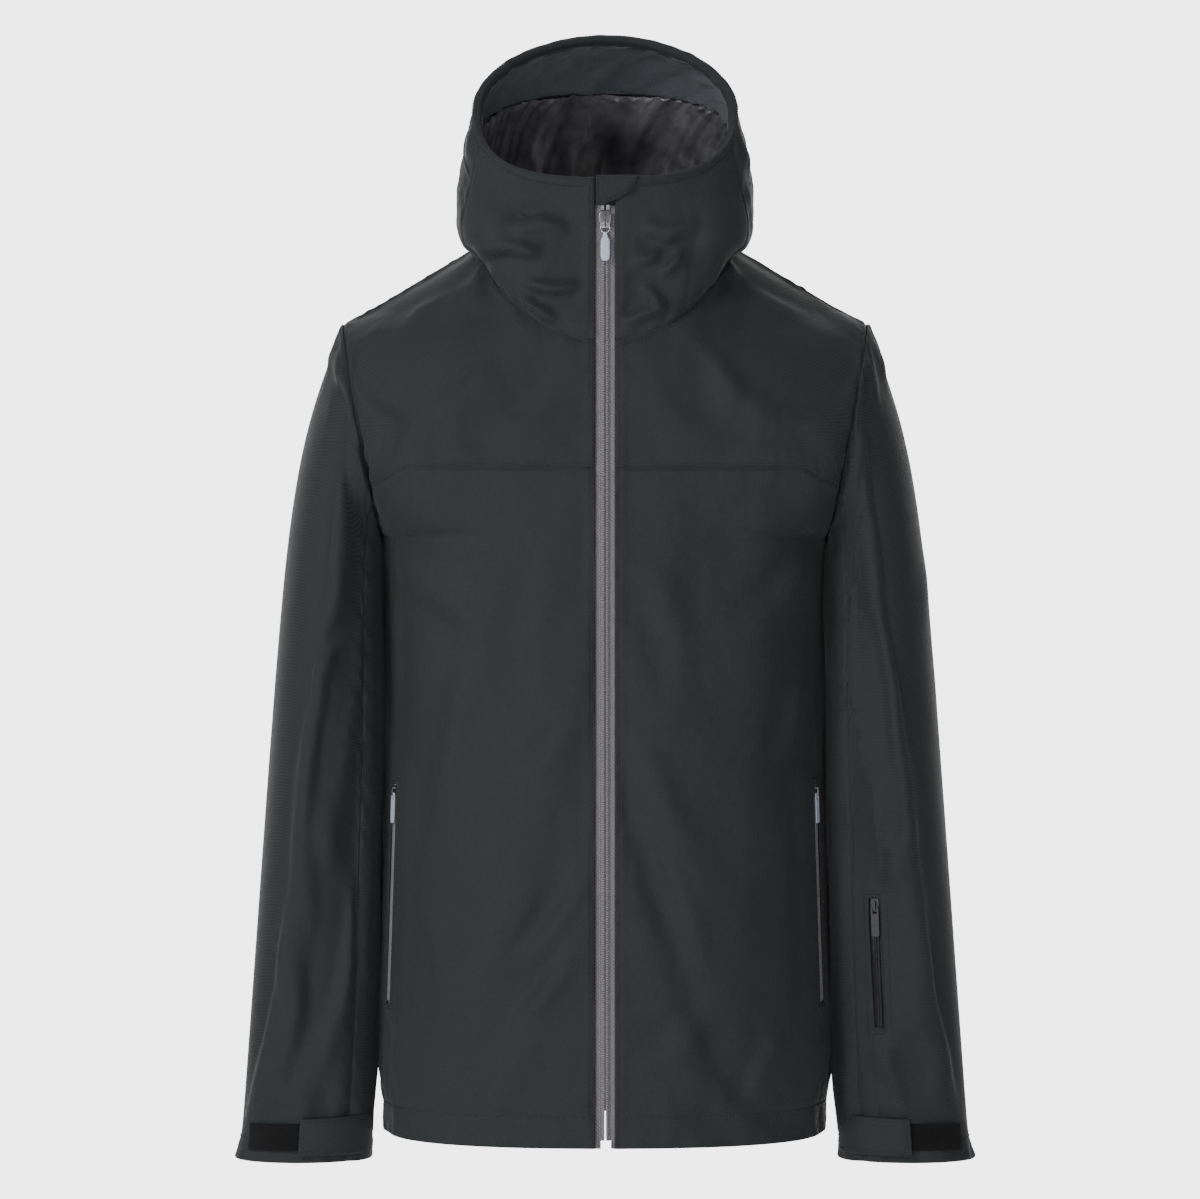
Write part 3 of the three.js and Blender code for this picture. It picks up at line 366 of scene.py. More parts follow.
POCKET = woven("pocket_cloth", (0.012, 0.012, 0.013), (0.03, 0.03, 0.032), 0.9, 0.0012, 0.6, sheen=0.3)
TAPE = woven("zip_tape", (0.085, 0.080, 0.089), (0.19, 0.178, 0.195), 0.8, 0.0016, 0.9, twill=True,
             mottle=0.15, rib=0.6)
BLACK_TAPE = woven("black_tape", (0.006, 0.006, 0.007), (0.016, 0.016, 0.018), 0.85, 0.0009, 0.8, twill=True)
COIL = grained("zip_coil", (0.125, 0.117, 0.13), (0.22, 0.207, 0.225), 0.5)
BLACK_ZIP = grained("black_zip", (0.006, 0.006, 0.007), (0.016, 0.016, 0.018), 0.45)
DARK_METAL = brushed_metal("slider_metal", (0.20, 0.195, 0.21), 0.32)
BRIGHT_METAL = brushed_metal("bright_metal", (0.62, 0.63, 0.66), 0.2)
PULL = grained("pull_webbing", (0.27, 0.30, 0.39), (0.42, 0.45, 0.55), 0.6)
HOOKS = grained("hook_tape", (0.004, 0.004, 0.005), (0.013, 0.013, 0.014), **NAP)
LOOPS = grained("loop_tape", (0.0025, 0.0025, 0.003), (0.011, 0.011, 0.012), **NAP)

# ---- Surfaces, the same as the frame's, for whole arrays of points ----


def smooth(t):
    """0 to 1 with a level start and end."""
    t = np.clip(t, 0, 1)
    return t * t * (3 - 2 * t)


def mix(a, b, t):
    """The value t of the way from a to b."""
    return a + (b - a) * t


def eased(stations, place):
    """A value that eases from one (place, value) station to the next."""
    place = np.asarray(place, float)
    value = np.full(place.shape, float(stations[0][1]))
    for (p0, v0), (p1, v1) in zip(stations, stations[1:]):
        value = np.where(place >= p0, mix(v0, v1, smooth((place - p0) / (p1 - p0))), value)
    return value


def side_x(z):
    """Half width of the body below the armhole."""
    return eased(SIDE_STATIONS, np.minimum(z, ARMPIT_Z))


def armhole_x(z):
    """Half width of the body at the armhole seam."""
    return mix(BODY_HALF_WIDTH, TIP_X, (z - ARMPIT_Z) / ARMHOLE_HEIGHT)


def edge_x(z, inset):
    return np.where(z < ARMPIT_Z, side_x(z) - inset, armhole_x(z))


def shoulder_z(x, inset):
    """Height of the shoulder seam."""
    return NECK_POINT_Z + (NECK_HALF_WIDTH - x) * SHOULDER_SLOPE - inset * SLOPE_STRETCH


def armhole_depth(z, inset):
    top = TIP_Z - inset * SLOPE_STRETCH
    bottom = ARMPIT_Z + inset
    across = (z - (top + bottom) / 2) / ((top - bottom) / 2)
    return (ARMHOLE_HALF_DEPTH - inset) * np.sqrt(np.maximum(0, 1 - across * across))


def shoulder_roll(x, z, inset):
    below = np.clip((shoulder_z(x, inset) - z) / SHOULDER_ROLL, 0, 1)
    return np.sqrt(1 - (1 - below) ** 2)


def front_depth(z):
    return FRONT_DEPTH_CHIN + (CHIN_Z - z) * ZIP_LEAN


def back_depth(z):
    return mix(BACK_DEPTH_NECK, BACK_DEPTH, smooth((NECK_POINT_Z - z) / 200))


def body_depth(face, x, z, inset):
    """Depth of front (face -1) or back (face 1) from the middle."""
    centre = (front_depth if face < 0 else back_depth)(z)
    edge = edge_x(z, inset)
    roll = shoulder_roll(x, z, inset)
    edge_roll = np.maximum(0.05, shoulder_roll(edge, z, inset))
    edge_depth = np.where(z > ARMPIT_Z, armhole_depth(z, inset) / edge_roll, 0)
    share = np.clip(x / edge, 0, 1)
    bow = (1 - share ** BODY_ROUNDNESS) ** (1 / BODY_ROUNDNESS)
    return np.maximum(0.1, roll * mix(edge_depth, centre - inset, bow))


def body_points(face, side, x, z, inset):
    x, z = np.broadcast_arrays(np.asarray(x, float), np.asarray(z, float))
    return np.stack([side * x, face * body_depth(face, x, z, inset), z], axis=-1)


def neck_z(drop, x, inset):
    """Height of the neck seam, which is drop below the neck point at the middle."""
    point = NECK_POINT_Z - inset * SLOPE_STRETCH
    bottom = NECK_POINT_Z - drop
    return point - (point - bottom) * (1 - np.clip(x / NECK_HALF_WIDTH, 0, 1) ** 2) ** 0.6


def column_share(u):
    """Where a body column lies, for u from 0 at the centre line to 1 at the side."""
    return np.sin(u * math.pi / 2) ** (2 / BODY_ROUNDNESS)


def yoke_seam_z(drop, share):
    return NECK_POINT_Z - drop - YOKE_CORNER_DROP * smooth((share - 0.8) / 0.2)


def first_x(face):
    return ZIP_EDGE if face < 0 else 0


NECK_PART = 0.5                  # the part of a yoke's top edge that lies on the neck seam


def yoke_points(face, side, u, v, inset):
    """v is 0 at the yoke seam and 1 at the neck and shoulder seams."""
    start = first_x(face)
    neck_drop = FRONT_NECK_DROP if face < 0 else BACK_NECK_DROP
    drop = FRONT_YOKE_DROP if face < 0 else BACK_YOKE_DROP
    share = column_share(u)
    bottom_z = yoke_seam_z(drop, share)
    bottom_x = mix(start, edge_x(bottom_z, inset), share)
    on_neck = np.clip(u / NECK_PART, 0, 1)
    x_neck = mix(start, NECK_HALF_WIDTH, np.sin(on_neck * math.pi / 2))
    tip_x = armhole_x(TIP_Z - inset * SLOPE_STRETCH)
    x_shoulder = mix(NECK_HALF_WIDTH, tip_x, np.clip((u - NECK_PART) / (1 - NECK_PART), 0, 1))
    top_x = np.where(u <= NECK_PART, x_neck, x_shoulder)
    top_z = np.where(u <= NECK_PART, neck_z(neck_drop, x_neck, inset), shoulder_z(x_shoulder, inset))
    ease = np.sin(v * math.pi / 2)
    return body_points(face, side, mix(bottom_x, top_x, ease), mix(bottom_z, top_z, ease), inset)


def panel_points(face, side, u, v, inset, bottom=None):
    """v is 0 at the yoke seam and 1 at the hem."""
    drop = FRONT_YOKE_DROP if face < 0 else BACK_YOKE_DROP
    share = column_share(u)
    z = mix(yoke_seam_z(drop, share), HEM_Z if bottom is None else bottom, v)
    return body_points(face, side, mix(first_x(face), edge_x(z, inset), share), z, inset)


def sleeve_edges(s, inset):
    """The sleeve's outer and inner edge, for s from 0 at its head to 1 at the cuff."""
    flare = CUFF_FLARE * (0.45 * (1 - (1 - s) ** 9) + 0.55 * s)
    upright = 1 - smooth(s / 0.3)
    outer_drop = inset * SLOPE_STRETCH * upright
    outer_x = armhole_x(TIP_Z - outer_drop) + flare - inset * smooth(s / 0.1)
    outer_z = mix(TIP_Z, CUFF_Z, s) - outer_drop
    inner_z = mix(ARMPIT_Z, CUFF_Z, s ** 1.5) + inset * upright
    beside = edge_x(inner_z, 0) + SLEEVE_CLEARANCE * smooth(s / 0.06)
    cuff_x = BODY_HALF_WIDTH + CUFF_STAND_OFF
    inner_x = mix(beside, cuff_x, smooth((s - 0.8) / 0.2)) + inset * smooth(s / 0.1)
    return outer_x, outer_z, inner_x, inner_z


def sleeve_points(side, angle, s, inset):
    """angle is 0 on the outside of the arm, 90 at the front and 180 next to the body."""
    outer_x, outer_z, inner_x, inner_z = sleeve_edges(s, inset)
    turn = (1 + np.cos(np.radians(angle))) / 2
    x = mix(inner_x, outer_x, turn) + SET_IN_GAP * (1 - smooth(s / 0.1))
    half = eased([[0, ARMHOLE_HALF_DEPTH], [0.45, ELBOW_HALF_DEPTH], [1, CUFF_HALF_DEPTH]], s)
    y = -(half - inset) * np.sin(np.radians(angle)) - ARM_FORWARD * smooth(s)
    z = mix(inner_z, outer_z, turn)
    x, y, z = np.broadcast_arrays(side * x, y, z)
    return np.stack([x, y, z], axis=-1)


def neck_seam(angle):
    """The neck seam, from 0 at the zip to 180 at the nape."""
    front = angle <= 90
    start = np.where(front, ZIP_EDGE, 0)
    x = mix(start, NECK_HALF_WIDTH, np.sin(np.radians(angle)))
    z_front = neck_z(FRONT_NECK_DROP, x, 0)
    z_back = neck_z(BACK_NECK_DROP, x, 0)
    y = np.where(front, -body_depth(-1, x, z_front, 0), body_depth(1, x, z_back, 0))
    return np.stack([x, y, np.where(front, z_front, z_back) + SET_IN_GAP], axis=-1)


def hood_rim(angle):
    """The hood's rim, from 0 at the zip to 180 at the crown."""
    cosine, sine = np.cos(np.radians(angle)), np.sin(np.radians(angle))
    sine = np.maximum(sine, 0)
    roundness = np.where(angle <= 90, LOWER_RIM_ROUNDNESS, UPPER_RIM_ROUNDNESS)
    start = np.where(angle <= 90, ZIP_EDGE, 0)
    rise = (1 - np.sign(cosine) * np.abs(cosine) ** (2 / roundness)) / 2
    x = mix(start, RIM_HALF_WIDTH, sine ** (2 / roundness))
    return np.stack([x, -FRONT_DEPTH_CHIN + RIM_TOP_BACK * rise, CHIN_Z + HOOD_HEIGHT * rise], axis=-1)


def hood_outer(angle, t):
    """Collar and hood as one surface, for t from 0 at the neck seam to 1 at the rim."""
    angle, t = np.broadcast_arrays(np.asarray(angle, float), np.asarray(t, float))
    side = np.sin(np.radians(angle)) ** 2
    back = np.where(angle > 90, 1 - side, 0)
    front = np.where(angle <= 90, 1 - side, 0)
    seam, rim = neck_seam(angle), hood_rim(angle)
    third = COLLAR_HEIGHT / 3
    outward = np.stack([np.sin(np.radians(angle)), -np.cos(np.radians(angle)), 0 * angle], axis=-1)
    up = np.array([0, 0, 1.0])
    low = seam + outward * (HOOD_SIDE_BULGE * side + HOOD_BACK_BULGE * back)[..., None]
    low = low + up * (third * front + 25 * side + 30 * back)[..., None]
    high = rim + outward * (14 * side + CROWN_BULGE * back)[..., None]
    high = high + up * (-third * front - 30 * side + 5 * back)[..., None]
    lean = third * ZIP_LEAN * front
    low[..., 1] += lean
    high[..., 1] -= lean
    t = t[..., None]
    return (1 - t) ** 3 * seam + 3 * (1 - t) ** 2 * t * low + 3 * (1 - t) * t ** 2 * high + t ** 3 * rim


def hood_points(side, angle, t, inset):
    small = 0.01
    angle, t = np.broadcast_arrays(np.asarray(angle, float), np.asarray(t, float))
    around = hood_outer(np.minimum(angle + 0.5, 180), t) - hood_outer(np.maximum(angle - 0.5, 0), t)
    level = np.clip(t, small, 1 - small)
    upward = hood_outer(angle, level + small) - hood_outer(angle, level - small)
    normal = np.cross(around, upward)
    normal /= np.linalg.norm(normal, axis=-1, keepdims=True)
    point = hood_outer(angle, t) - normal * np.asarray(inset, float)[..., None]
    point[..., 0] = np.where(angle >= 180, 0, np.maximum(point[..., 0], 0)) * side
    return point


def both_sides(points):
    """A surface that runs across both sides: u goes from -1 on the wearer's right to 1 on the left."""
    def across(u, v, inset):
        u, v = np.broadcast_arrays(np.asarray(u, float), np.asarray(v, float))
        place = points(1, np.abs(u), v, inset)
        place[..., 0] = np.where(u < 0, -place[..., 0], place[..., 0])
        return place
    return across


# ---- Meshes ----


def finish_mesh(name, points, faces, made, uv=None):
    """Makes an object from points in millimetres and a list or array of faces."""
    data = bpy.data.meshes.new(name)
    data.from_pydata((np.asarray(points) * MM).tolist(), [], [list(face) for face in faces])
    data.materials.append(made)
    if uv is not None:
        layer = data.uv_layers.new(name="cloth")
        corner = np.empty(len(data.loops), np.int32)
        data.loops.foreach_get("vertex_index", corner)
        layer.data.foreach_set("uv", (np.asarray(uv) * MM)[corner].ravel())
    data.polygons.foreach_set("use_smooth", [True] * len(data.polygons))
    piece = bpy.data.objects.new(name, data)
    bpy.context.scene.collection.objects.link(piece)
    return piece


def place_piece(piece, body="root", replaced=()):
    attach(piece, body)
    if replaced:
        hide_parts(*replaced)
    return piece


def slab_faces(rows, columns, keep):
    """Faces of a two-layer slab; keep says which cells of the grid have cloth."""
    layer = rows * columns
    at = np.arange(layer).reshape(rows, columns)
    a, b, c, d = at[:-1, :-1], at[:-1, 1:], at[1:, 1:], at[1:, :-1]
    front = np.stack([a, b, c, d], axis=-1)[keep]
    back = front[:, ::-1] + layer
    solid = np.zeros((rows + 1, columns + 1), bool)
    solid[1:-1, 1:-1] = keep
    walls = []
    above, below = solid[:-1, 1:-1], solid[1:, 1:-1]
    for line, turn in ((below & ~above, False), (above & ~below, True)):
        r, k = np.nonzero(line)
        p, q = at[r, k], at[r, k + 1]
        walls.append(wall_quads(p, q, layer, turn))
    left, right = solid[1:-1, :-1], solid[1:-1, 1:]
    for line, turn in ((right & ~left, True), (left & ~right, False)):
        r, k = np.nonzero(line)
        p, q = at[r, k], at[r + 1, k]
        walls.append(wall_quads(p, q, layer, turn))
    return np.concatenate([front, back, *walls])


def wall_quads(p, q, layer, turn):
    quads = np.stack([p, p + layer, q + layer, q], axis=-1)
    return quads[:, ::-1] if turn else quads


def ring_faces(deep, sides):
    """The faces round a body between rings of points, for a number of rings with a number of sides."""
    k, j = np.divmod(np.arange((deep - 1) * sides), sides)
    n = (j + 1) % sides
    return np.stack([k * sides + j, (k + 1) * sides + j, (k + 1) * sides + n, k * sides + n], axis=-1)


def slab_mesh(name, outer, inner, faces, made, s, t):
    """A two-layer slab with the distances along the cloth as its UV map."""
    both = np.concatenate([outer.reshape(-1, 3), inner.reshape(-1, 3)])
    uv = np.stack([s, t], axis=-1).reshape(-1, 2)
    return finish_mesh(name, both, faces, made, np.concatenate([uv, uv]))


def whole(rows, columns):
    """The keep grid of a piece without a hole."""
    return np.ones((rows - 1, columns - 1), bool)


def cell_areas(grid):
    """The area of each cell of a grid of points."""
    across, down = grid[:-1, 1:] - grid[:-1, :-1], grid[1:, :-1] - grid[:-1, :-1]
    return np.linalg.norm(np.cross(across, down), axis=-1)


def unit(vectors):
    """The vectors at a length of 1."""
    return vectors / np.maximum(np.linalg.norm(vectors, axis=-1, keepdims=True), 1e-9)


def edge_distance(s, t):
    """How far each point of a grid is from the nearest edge."""
    return np.minimum.reduce([s, s[:, -1:] - s, t, t[-1:] - t])


def rounded(line, times):
    """A line with its corners rounded off, between fixed ends."""
    line = line.copy()
    for _ in range(times):
        line[1:-1] = (line[:-2] + 2 * line[1:-1] + line[2:]) / 4
    return line


def grid_normals(points, inward):
    """Unit normals of a grid, pointing away from the inward direction."""
    normal = unit(np.cross(np.gradient(points, axis=1), np.gradient(points, axis=0)))
    turned = np.sum(normal * inward) > 0
    return (-normal if turned else normal), turned


def blurred(field, times=1):
    """A grid smoothed by its neighbours, with its border kept."""
    for _ in range(times):
        inner = field.copy()
        inner[1:-1] = (field[:-2] + 2 * field[1:-1] + field[2:]) / 4
        field = inner.copy()
        field[:, 1:-1] = (inner[:, :-2] + 2 * inner[:, 1:-1] + inner[:, 2:]) / 4
    return field


def ripples(s, t, seed, wavelength, stretch=1.0, waves=28):
    """Soft random undulation of about unit height; stretch makes it longer along t."""
    rng = np.random.default_rng(seed)
    total = np.zeros(np.broadcast(s, t).shape)
    for _ in range(waves):
        angle = rng.uniform(0, 2 * math.pi)
        size = wavelength * rng.uniform(0.6, 1.7)
        phase = rng.uniform(0, 2 * math.pi)
        total += np.sin(2 * math.pi * (s * math.cos(angle) + t * math.sin(angle) / stretch) / size + phase)
    return total / math.sqrt(waves / 2)


EDGE_STEPS = np.array([0, 0.5, 1.2, 2.1, 3.3, 5.0, 7.2])   # the grid's columns nearest an edge
PITCH = 3.2                      # the grid's pitch in between
SIM_PITCH = 8.5                  # the simulation's pitch
SHELL_THICK = 1.2
HIGHEST = 10.0                   # how far folds can rise off the cut surface
LARGEST_SHARE = 0.99             # of a sheet's width times its length that its area can be


def stations(length, start, end, pitch=PITCH):
    """Parameters from start to end, close together at both edges and a pitch apart between."""
    band = EDGE_STEPS[-1]
    inner = np.linspace(band, length - band, max(2, int((length - 2 * band) / pitch) + 1))
    places = np.concatenate([EDGE_STEPS[:-1], inner, length - EDGE_STEPS[-2::-1]])
    return start + (end - start) * places / length


def run_lengths(points, axis):
    """How far each grid point is along its row or column."""
    step = np.linalg.norm(np.diff(points, axis=axis), axis=-1)
    shape = list(points.shape[:2])
    shape[axis] = 1
    return np.concatenate([np.zeros(shape), np.cumsum(step, axis=axis)], axis=axis)


class Cloth:
    """A cut piece of cloth on a surface, as a fine grid, with its distance from each edge.

    ease says how much larger than its surface it is cut; slit makes its columns run beside a zip; relaxed
    says how often its surface is smoothed.
    """
    held = "stretched"
    lowest = 4.5                     # how far folds can sink below the cut surface

    def __init__(self, name, surface, u_range, v_range, ease, pitch=PITCH, slit=None, relaxed=0):
        self.name = name
        self.surface = surface
        self.u_range, self.v_range = u_range, v_range
        self.ease = ease
        sample = surface(np.linspace(*u_range, 61)[None, :], np.linspace(*v_range, 61)[:, None], 0)
        self.width = float(run_lengths(sample, 1)[:, -1].mean())
        self.length = float(run_lengths(sample, 0)[-1].mean())
        self.u = stations(self.width, *u_range, pitch)[None, :]
        self.v = stations(self.length, *v_range, pitch)[:, None]
        self.keep = None
        if slit:
            self.u, self.v, self.keep = slit(self)
        self.base = surface(self.u, self.v, 0)
        self.inward = surface(self.u, self.v, 1.0) - self.base
        self.base = blurred(self.base, relaxed)
        self.normal = grid_normals(self.base, self.inward)[0]
        self.s = run_lengths(self.base, 1)
        self.t = run_lengths(self.base, 0)
        self.left, self.right = self.s, self.s[:, -1:] - self.s
        self.top, self.bottom = self.t, self.t[-1:] - self.t
        self.height = np.zeros(self.s.shape)
        self.drape = np.zeros(self.base.shape)
        self.thick = np.full(self.s.shape, SHELL_THICK)
        if self.keep is None:
            self.keep = whole(*self.s.shape)

    # -- cloth simulation --
    def coarse(self, inset):
        columns = max(4, int(self.width / SIM_PITCH))
        rows = max(4, int(self.length / SIM_PITCH))
        u = np.linspace(*self.u_range, columns)[None, :]
        v = np.linspace(*self.v_range, rows)[:, None]
        return self.surface(u, v, inset)

    def take_drape(self, moved):
        """Spreads the simulation's coarse displacements over the fine grid."""
        rows, columns = moved.shape[:2]
        across = (self.u - self.u_range[0]) / (self.u_range[1] - self.u_range[0]) * (columns - 1)
        down = (self.v - self.v_range[0]) / (self.v_range[1] - self.v_range[0]) * (rows - 1)
        across, down = np.broadcast_arrays(across, down)
        c = np.clip(across.astype(int), 0, columns - 2)
        r = np.clip(down.astype(int), 0, rows - 2)
        fc, fr = (across - c)[..., None], (down - r)[..., None]
        top = moved[r, c] * (1 - fc) + moved[r, c + 1] * fc
        low = moved[r + 1, c] * (1 - fc) + moved[r + 1, c + 1] * fc
        self.drape = blurred(top * (1 - fr) + low * fr, 3)

    # -- shaping --
    def nearest(self, *edges):
        return np.minimum.reduce([getattr(self, edge) for edge in edges])

    def seam(self, *edges, depth=1.7, reach=4.2):
        """Rolls the cloth down into the seam at each of these edges."""
        near = np.clip(1 - self.nearest(*edges) / reach, 0, 1)
        self.height -= depth * near ** 2.4
        return self

    def pucker(self, edge, seed, size=0.55, reach=11, wavelength=13):
        """Small gathers that run off a stitched edge."""
        distance = getattr(self, edge)
        run = self.t if edge in ("left", "right") else self.s
        wave = ripples(run, distance * 0.25, seed, wavelength, waves=9)
        self.height += size * wave * np.exp(-distance / reach) * smooth(distance / 2.5)
        return self

    def groove(self, edge, place, depth=0.55, width=1.6):
        """The line that a row of stitches pulls into the cloth."""
        distance = getattr(self, edge)
        self.height -= depth * np.exp(-((distance - place) / width) ** 2)
        return self

    def turned_edge(self, edge, lift=0.9, thick=2.6, reach=16):
        """An edge folded back on itself: thicker, with a rounded lip."""
        distance = getattr(self, edge)
        near = 1 - smooth((distance - reach * 0.6) / (reach * 0.4))
        self.thick += (thick - SHELL_THICK) * near
        self.height += lift * near
        lip = np.clip(1 - distance / 1.6, 0, 1)
        self.height -= 1.1 * lip ** 2
        self.thick -= 1.6 * lip ** 2
        return self

    def crumple(self, seed, size, wavelength, stretch=1.0):
        """Soft undulation with sharp creases in it, fading at the edges."""
        edge = smooth(self.nearest("left", "right", "top", "bottom") / 14)
        self.height += size * ripples(self.s, self.t, seed, wavelength, stretch) * edge
        sharp = np.abs(ripples(self.s, self.t, seed + 1, wavelength * 0.55, stretch))
        self.height -= 0.5 * size * np.exp(-(sharp / 0.22) ** 2) * edge
        return self

    def fold(self, route, width, size):
        """A drawn fold: a ridge along a route of (x, z) points, with a hollow beside it."""
        x, z = self.base[..., 0], self.base[..., 2]
        best = np.full(x.shape, 1e9)
        signed, window = np.zeros(x.shape), np.zeros(x.shape)
        steps = np.linalg.norm(np.diff(route, axis=0), axis=1)
        total, before = steps.sum(), 0.0
        for (x0, z0), (x1, z1), step in zip(route, route[1:], steps):
            dx, dz = (x1 - x0) / step, (z1 - z0) / step
            run = np.clip((x - x0) * dx + (z - z0) * dz, 0, step)
            off_x, off_z = x - x0 - run * dx, z - z0 - run * dz
            gap = np.hypot(off_x, off_z)
            closer = gap < best
            best = np.where(closer, gap, best)
            signed = np.where(closer, np.sign(off_x * dz - off_z * dx) * gap, signed)
            share = (before + run) / total
            window = np.where(closer, np.sin(math.pi * np.clip(share, 0, 1)) ** 0.7, window)
            before += step
        faces = self.normal[..., 1] < 0.25
        ridge = np.exp(-(signed / width) ** 2)
        hollow = np.exp(-((signed - 1.5 * width) / width) ** 2)
        edge = smooth(self.nearest("left", "right", "top", "bottom") / 10)
        self.height += FOLD_STRENGTH * size * window * (ridge - 0.75 * hollow) * faces * edge
        return self

    def fold_all(self, folds, strength=1.0):
        for width, size, *route in folds:
            self.fold(np.reshape(route, (-1, 2)), width, strength * size)

    # -- results --
    def shaped(self):
        out = np.sum(self.drape * self.normal, axis=-1)
        kept = self.drape - out[..., None] * self.normal
        rise = out + self.height
        limit = np.where(rise > 0, HIGHEST, self.lowest)
        rise = limit * np.tanh(rise / limit)
        self.points = self.base + kept + self.normal * rise[..., None]
        return self.points

    def build(self, made, slot, replaced):
        self.shaped()
        return self.emit(made, slot, replaced)

    def emit(self, made, slot, replaced):
        points = self.points
        self.face_normal, turned = grid_normals(points, self.inward)
        inner = points - self.face_normal * self.thick[..., None]
        faces = slab_faces(*self.s.shape, self.keep)
        if turned:
            faces = faces[:, ::-1]
        across = self.s - self.s.mean(axis=1, keepdims=True) + self.width
        piece = slab_mesh(self.name, points, inner, faces, made, across, self.t)
        place_piece(piece, "root", replaced)
        self.declare()
        return piece

    def declare(self):
        area = float(cell_areas(self.base)[self.keep].sum()) * self.ease[0] * MM * MM
        wide = float(self.s[:, -1].max()) * self.ease[0] * MM
        long = float(self.t[-1].max()) * MM
        area = min(area, LARGEST_SHARE * wide * long)

    # -- places on the finished piece --
    def beside(self, edge, place):
        """Points and normals along a line at a distance from an edge."""
        distance = getattr(self, edge)
        rows, columns = distance.shape
        down = edge in ("left", "right")
        spots, normals = [], []
        for k in range(rows if down else columns):
            run = distance[k] if down else distance[:, k]
            points = self.points[k] if down else self.points[:, k]
            lean = self.face_normal[k] if down else self.face_normal[:, k]
            order = np.argsort(run)
            spots.append([np.interp(place, run[order], points[order, i]) for i in range(3)])
            normals.append([np.interp(place, run[order], lean[order, i]) for i in range(3)])
        return np.array(spots), np.array(normals)


# ---- Cloth simulation ----
SIM_FRAMES = 22
SIM_PRESSURE = 2.2
CLOTH_SETTINGS = {
    "quality": 5, "mass": 0.16, "air_damping": 2.0, "tension_stiffness": 18, "compression_stiffness": 18,
    "shear_stiffness": 8, "bending_stiffness": 0.6, "tension_damping": 6, "compression_damping": 6,
}


def simulate(cloths):
    """Drapes the pieces with their sewn borders held, each cut larger than the shape it covers."""
    points, faces, grown, held, spans = [], [], [], [], []
    first = 0
    for cloth in cloths:
        grid, inner = cloth.coarse(0), cloth.coarse(1.0)
        rows, columns = grid.shape[:2]
        at = first + np.arange(rows * columns).reshape(rows, columns)
        quads = np.stack([at[:-1, :-1], at[:-1, 1:], at[1:, 1:], at[1:, :-1]], axis=-1).reshape(-1, 4)
        turned = grid_normals(grid, inner - grid)[1]
        faces.append(quads[:, ::-1] if turned else quads)
        middle = grid.reshape(-1, 3).mean(axis=0)
        grown.append((grid - middle) * np.array(cloth.ease) + middle)
        border = np.zeros((rows, columns), bool)
        border[[0, -1]] = True
        border[:, [0, -1]] = True
        held.append(at[border])
        points.append(grid)
        spans.append((cloth, first, rows, columns))
        first += rows * columns
    flat = np.concatenate([grid.reshape(-1, 3) for grid in points]) * MM
    rest = np.concatenate([grid.reshape(-1, 3) for grid in grown]) * MM
    data = bpy.data.meshes.new("drape")
    data.from_pydata(flat.tolist(), [], np.concatenate(faces).tolist())
    piece = bpy.data.objects.new("drape", data)
    bpy.context.scene.collection.objects.link(piece)
    piece.shape_key_add(name="start")
    cut = piece.shape_key_add(name="cut")
    cut.data.foreach_set("co", rest.ravel())
    pins = piece.vertex_groups.new(name="sewn")
    pins.add(np.concatenate(held).tolist(), 1.0, "REPLACE")
    modifier = piece.modifiers.new("cloth", "CLOTH")
    settings = modifier.settings
    for key, value in CLOTH_SETTINGS.items():
        setattr(settings, key, value)
    settings.use_pressure = True
    settings.uniform_pressure_force = SIM_PRESSURE
    settings.vertex_group_mass = "sewn"
    settings.rest_shape_key = cut
    modifier.collision_settings.use_collision = False
    modifier.point_cache.frame_start = 1
    modifier.point_cache.frame_end = SIM_FRAMES
    scene = bpy.context.scene
    for number in range(1, SIM_FRAMES + 1):
        scene.frame_set(number)
    found = piece.evaluated_get(bpy.context.evaluated_depsgraph_get())
    moved = np.empty(len(found.data.vertices) * 3)
    found.data.vertices.foreach_get("co", moved)
    moved = moved.reshape(-1, 3) / MM - flat / MM
    scene.frame_set(1)
    bpy.data.objects.remove(piece)
    bpy.data.meshes.remove(data)
    for cloth, start, rows, columns in spans:
        cloth.take_drape(moved[start:start + rows * columns].reshape(rows, columns, 3))


# ---- Zips: each has its own frame, X across, Y down and Z out, as in the record's joints ----
JOINTS = {joint["name"]: joint for joint in frame["joints"]}
MAIN_PIVOT, MAIN_START = (10.825, 4.944), 5.0
POCKET_PIVOT, POCKET_START = (7.223, 3.898), 1.0
HAND_ZIP_LENGTH, PASS_ZIP_LENGTH = 186, 112
POCKET_TAPE_INSET, SLIT_HALF_WIDTH = 2.2, 4.6
FAR_AWAY = 1000
NEAR_ZIP, NEAR_END = 60, 6       # how near a surface has to be for a zip to lie in it
WELT_REACH, WELT_EDGE, WELT_PLACE = 26, 4.2, 7.4


class ZipFrame:
    """A zip's axes: pivot is its pull's hinge down from and out of the slider, start the slider's place."""

    def __init__(self, slide, swing, pivot, start):
        down = np.array(JOINTS[slide]["axis"], float)
        across = -np.array(JOINTS[swing]["axis"], float)
        self.y = down / np.linalg.norm(down)
        self.z = unit(np.cross(across, self.y))
        if self.z[1] > 0:
            self.z = -self.z
        self.x = np.cross(self.y, self.z)
        place = np.array(JOINTS[swing]["pos_m"], float) / MM
        self.origin = place - self.y * (pivot[0] + start) - self.z * pivot[1]

    def at(self, x, y, z):
        x, y, z = np.broadcast_arrays(*(np.asarray(value, float) for value in (x, y, z)))
        return self.origin + x[..., None] * self.x + y[..., None] * self.y + z[..., None] * self.z

    def local(self, points):
        gap = points - self.origin
        return gap @ self.x, gap @ self.y, gap @ self.z


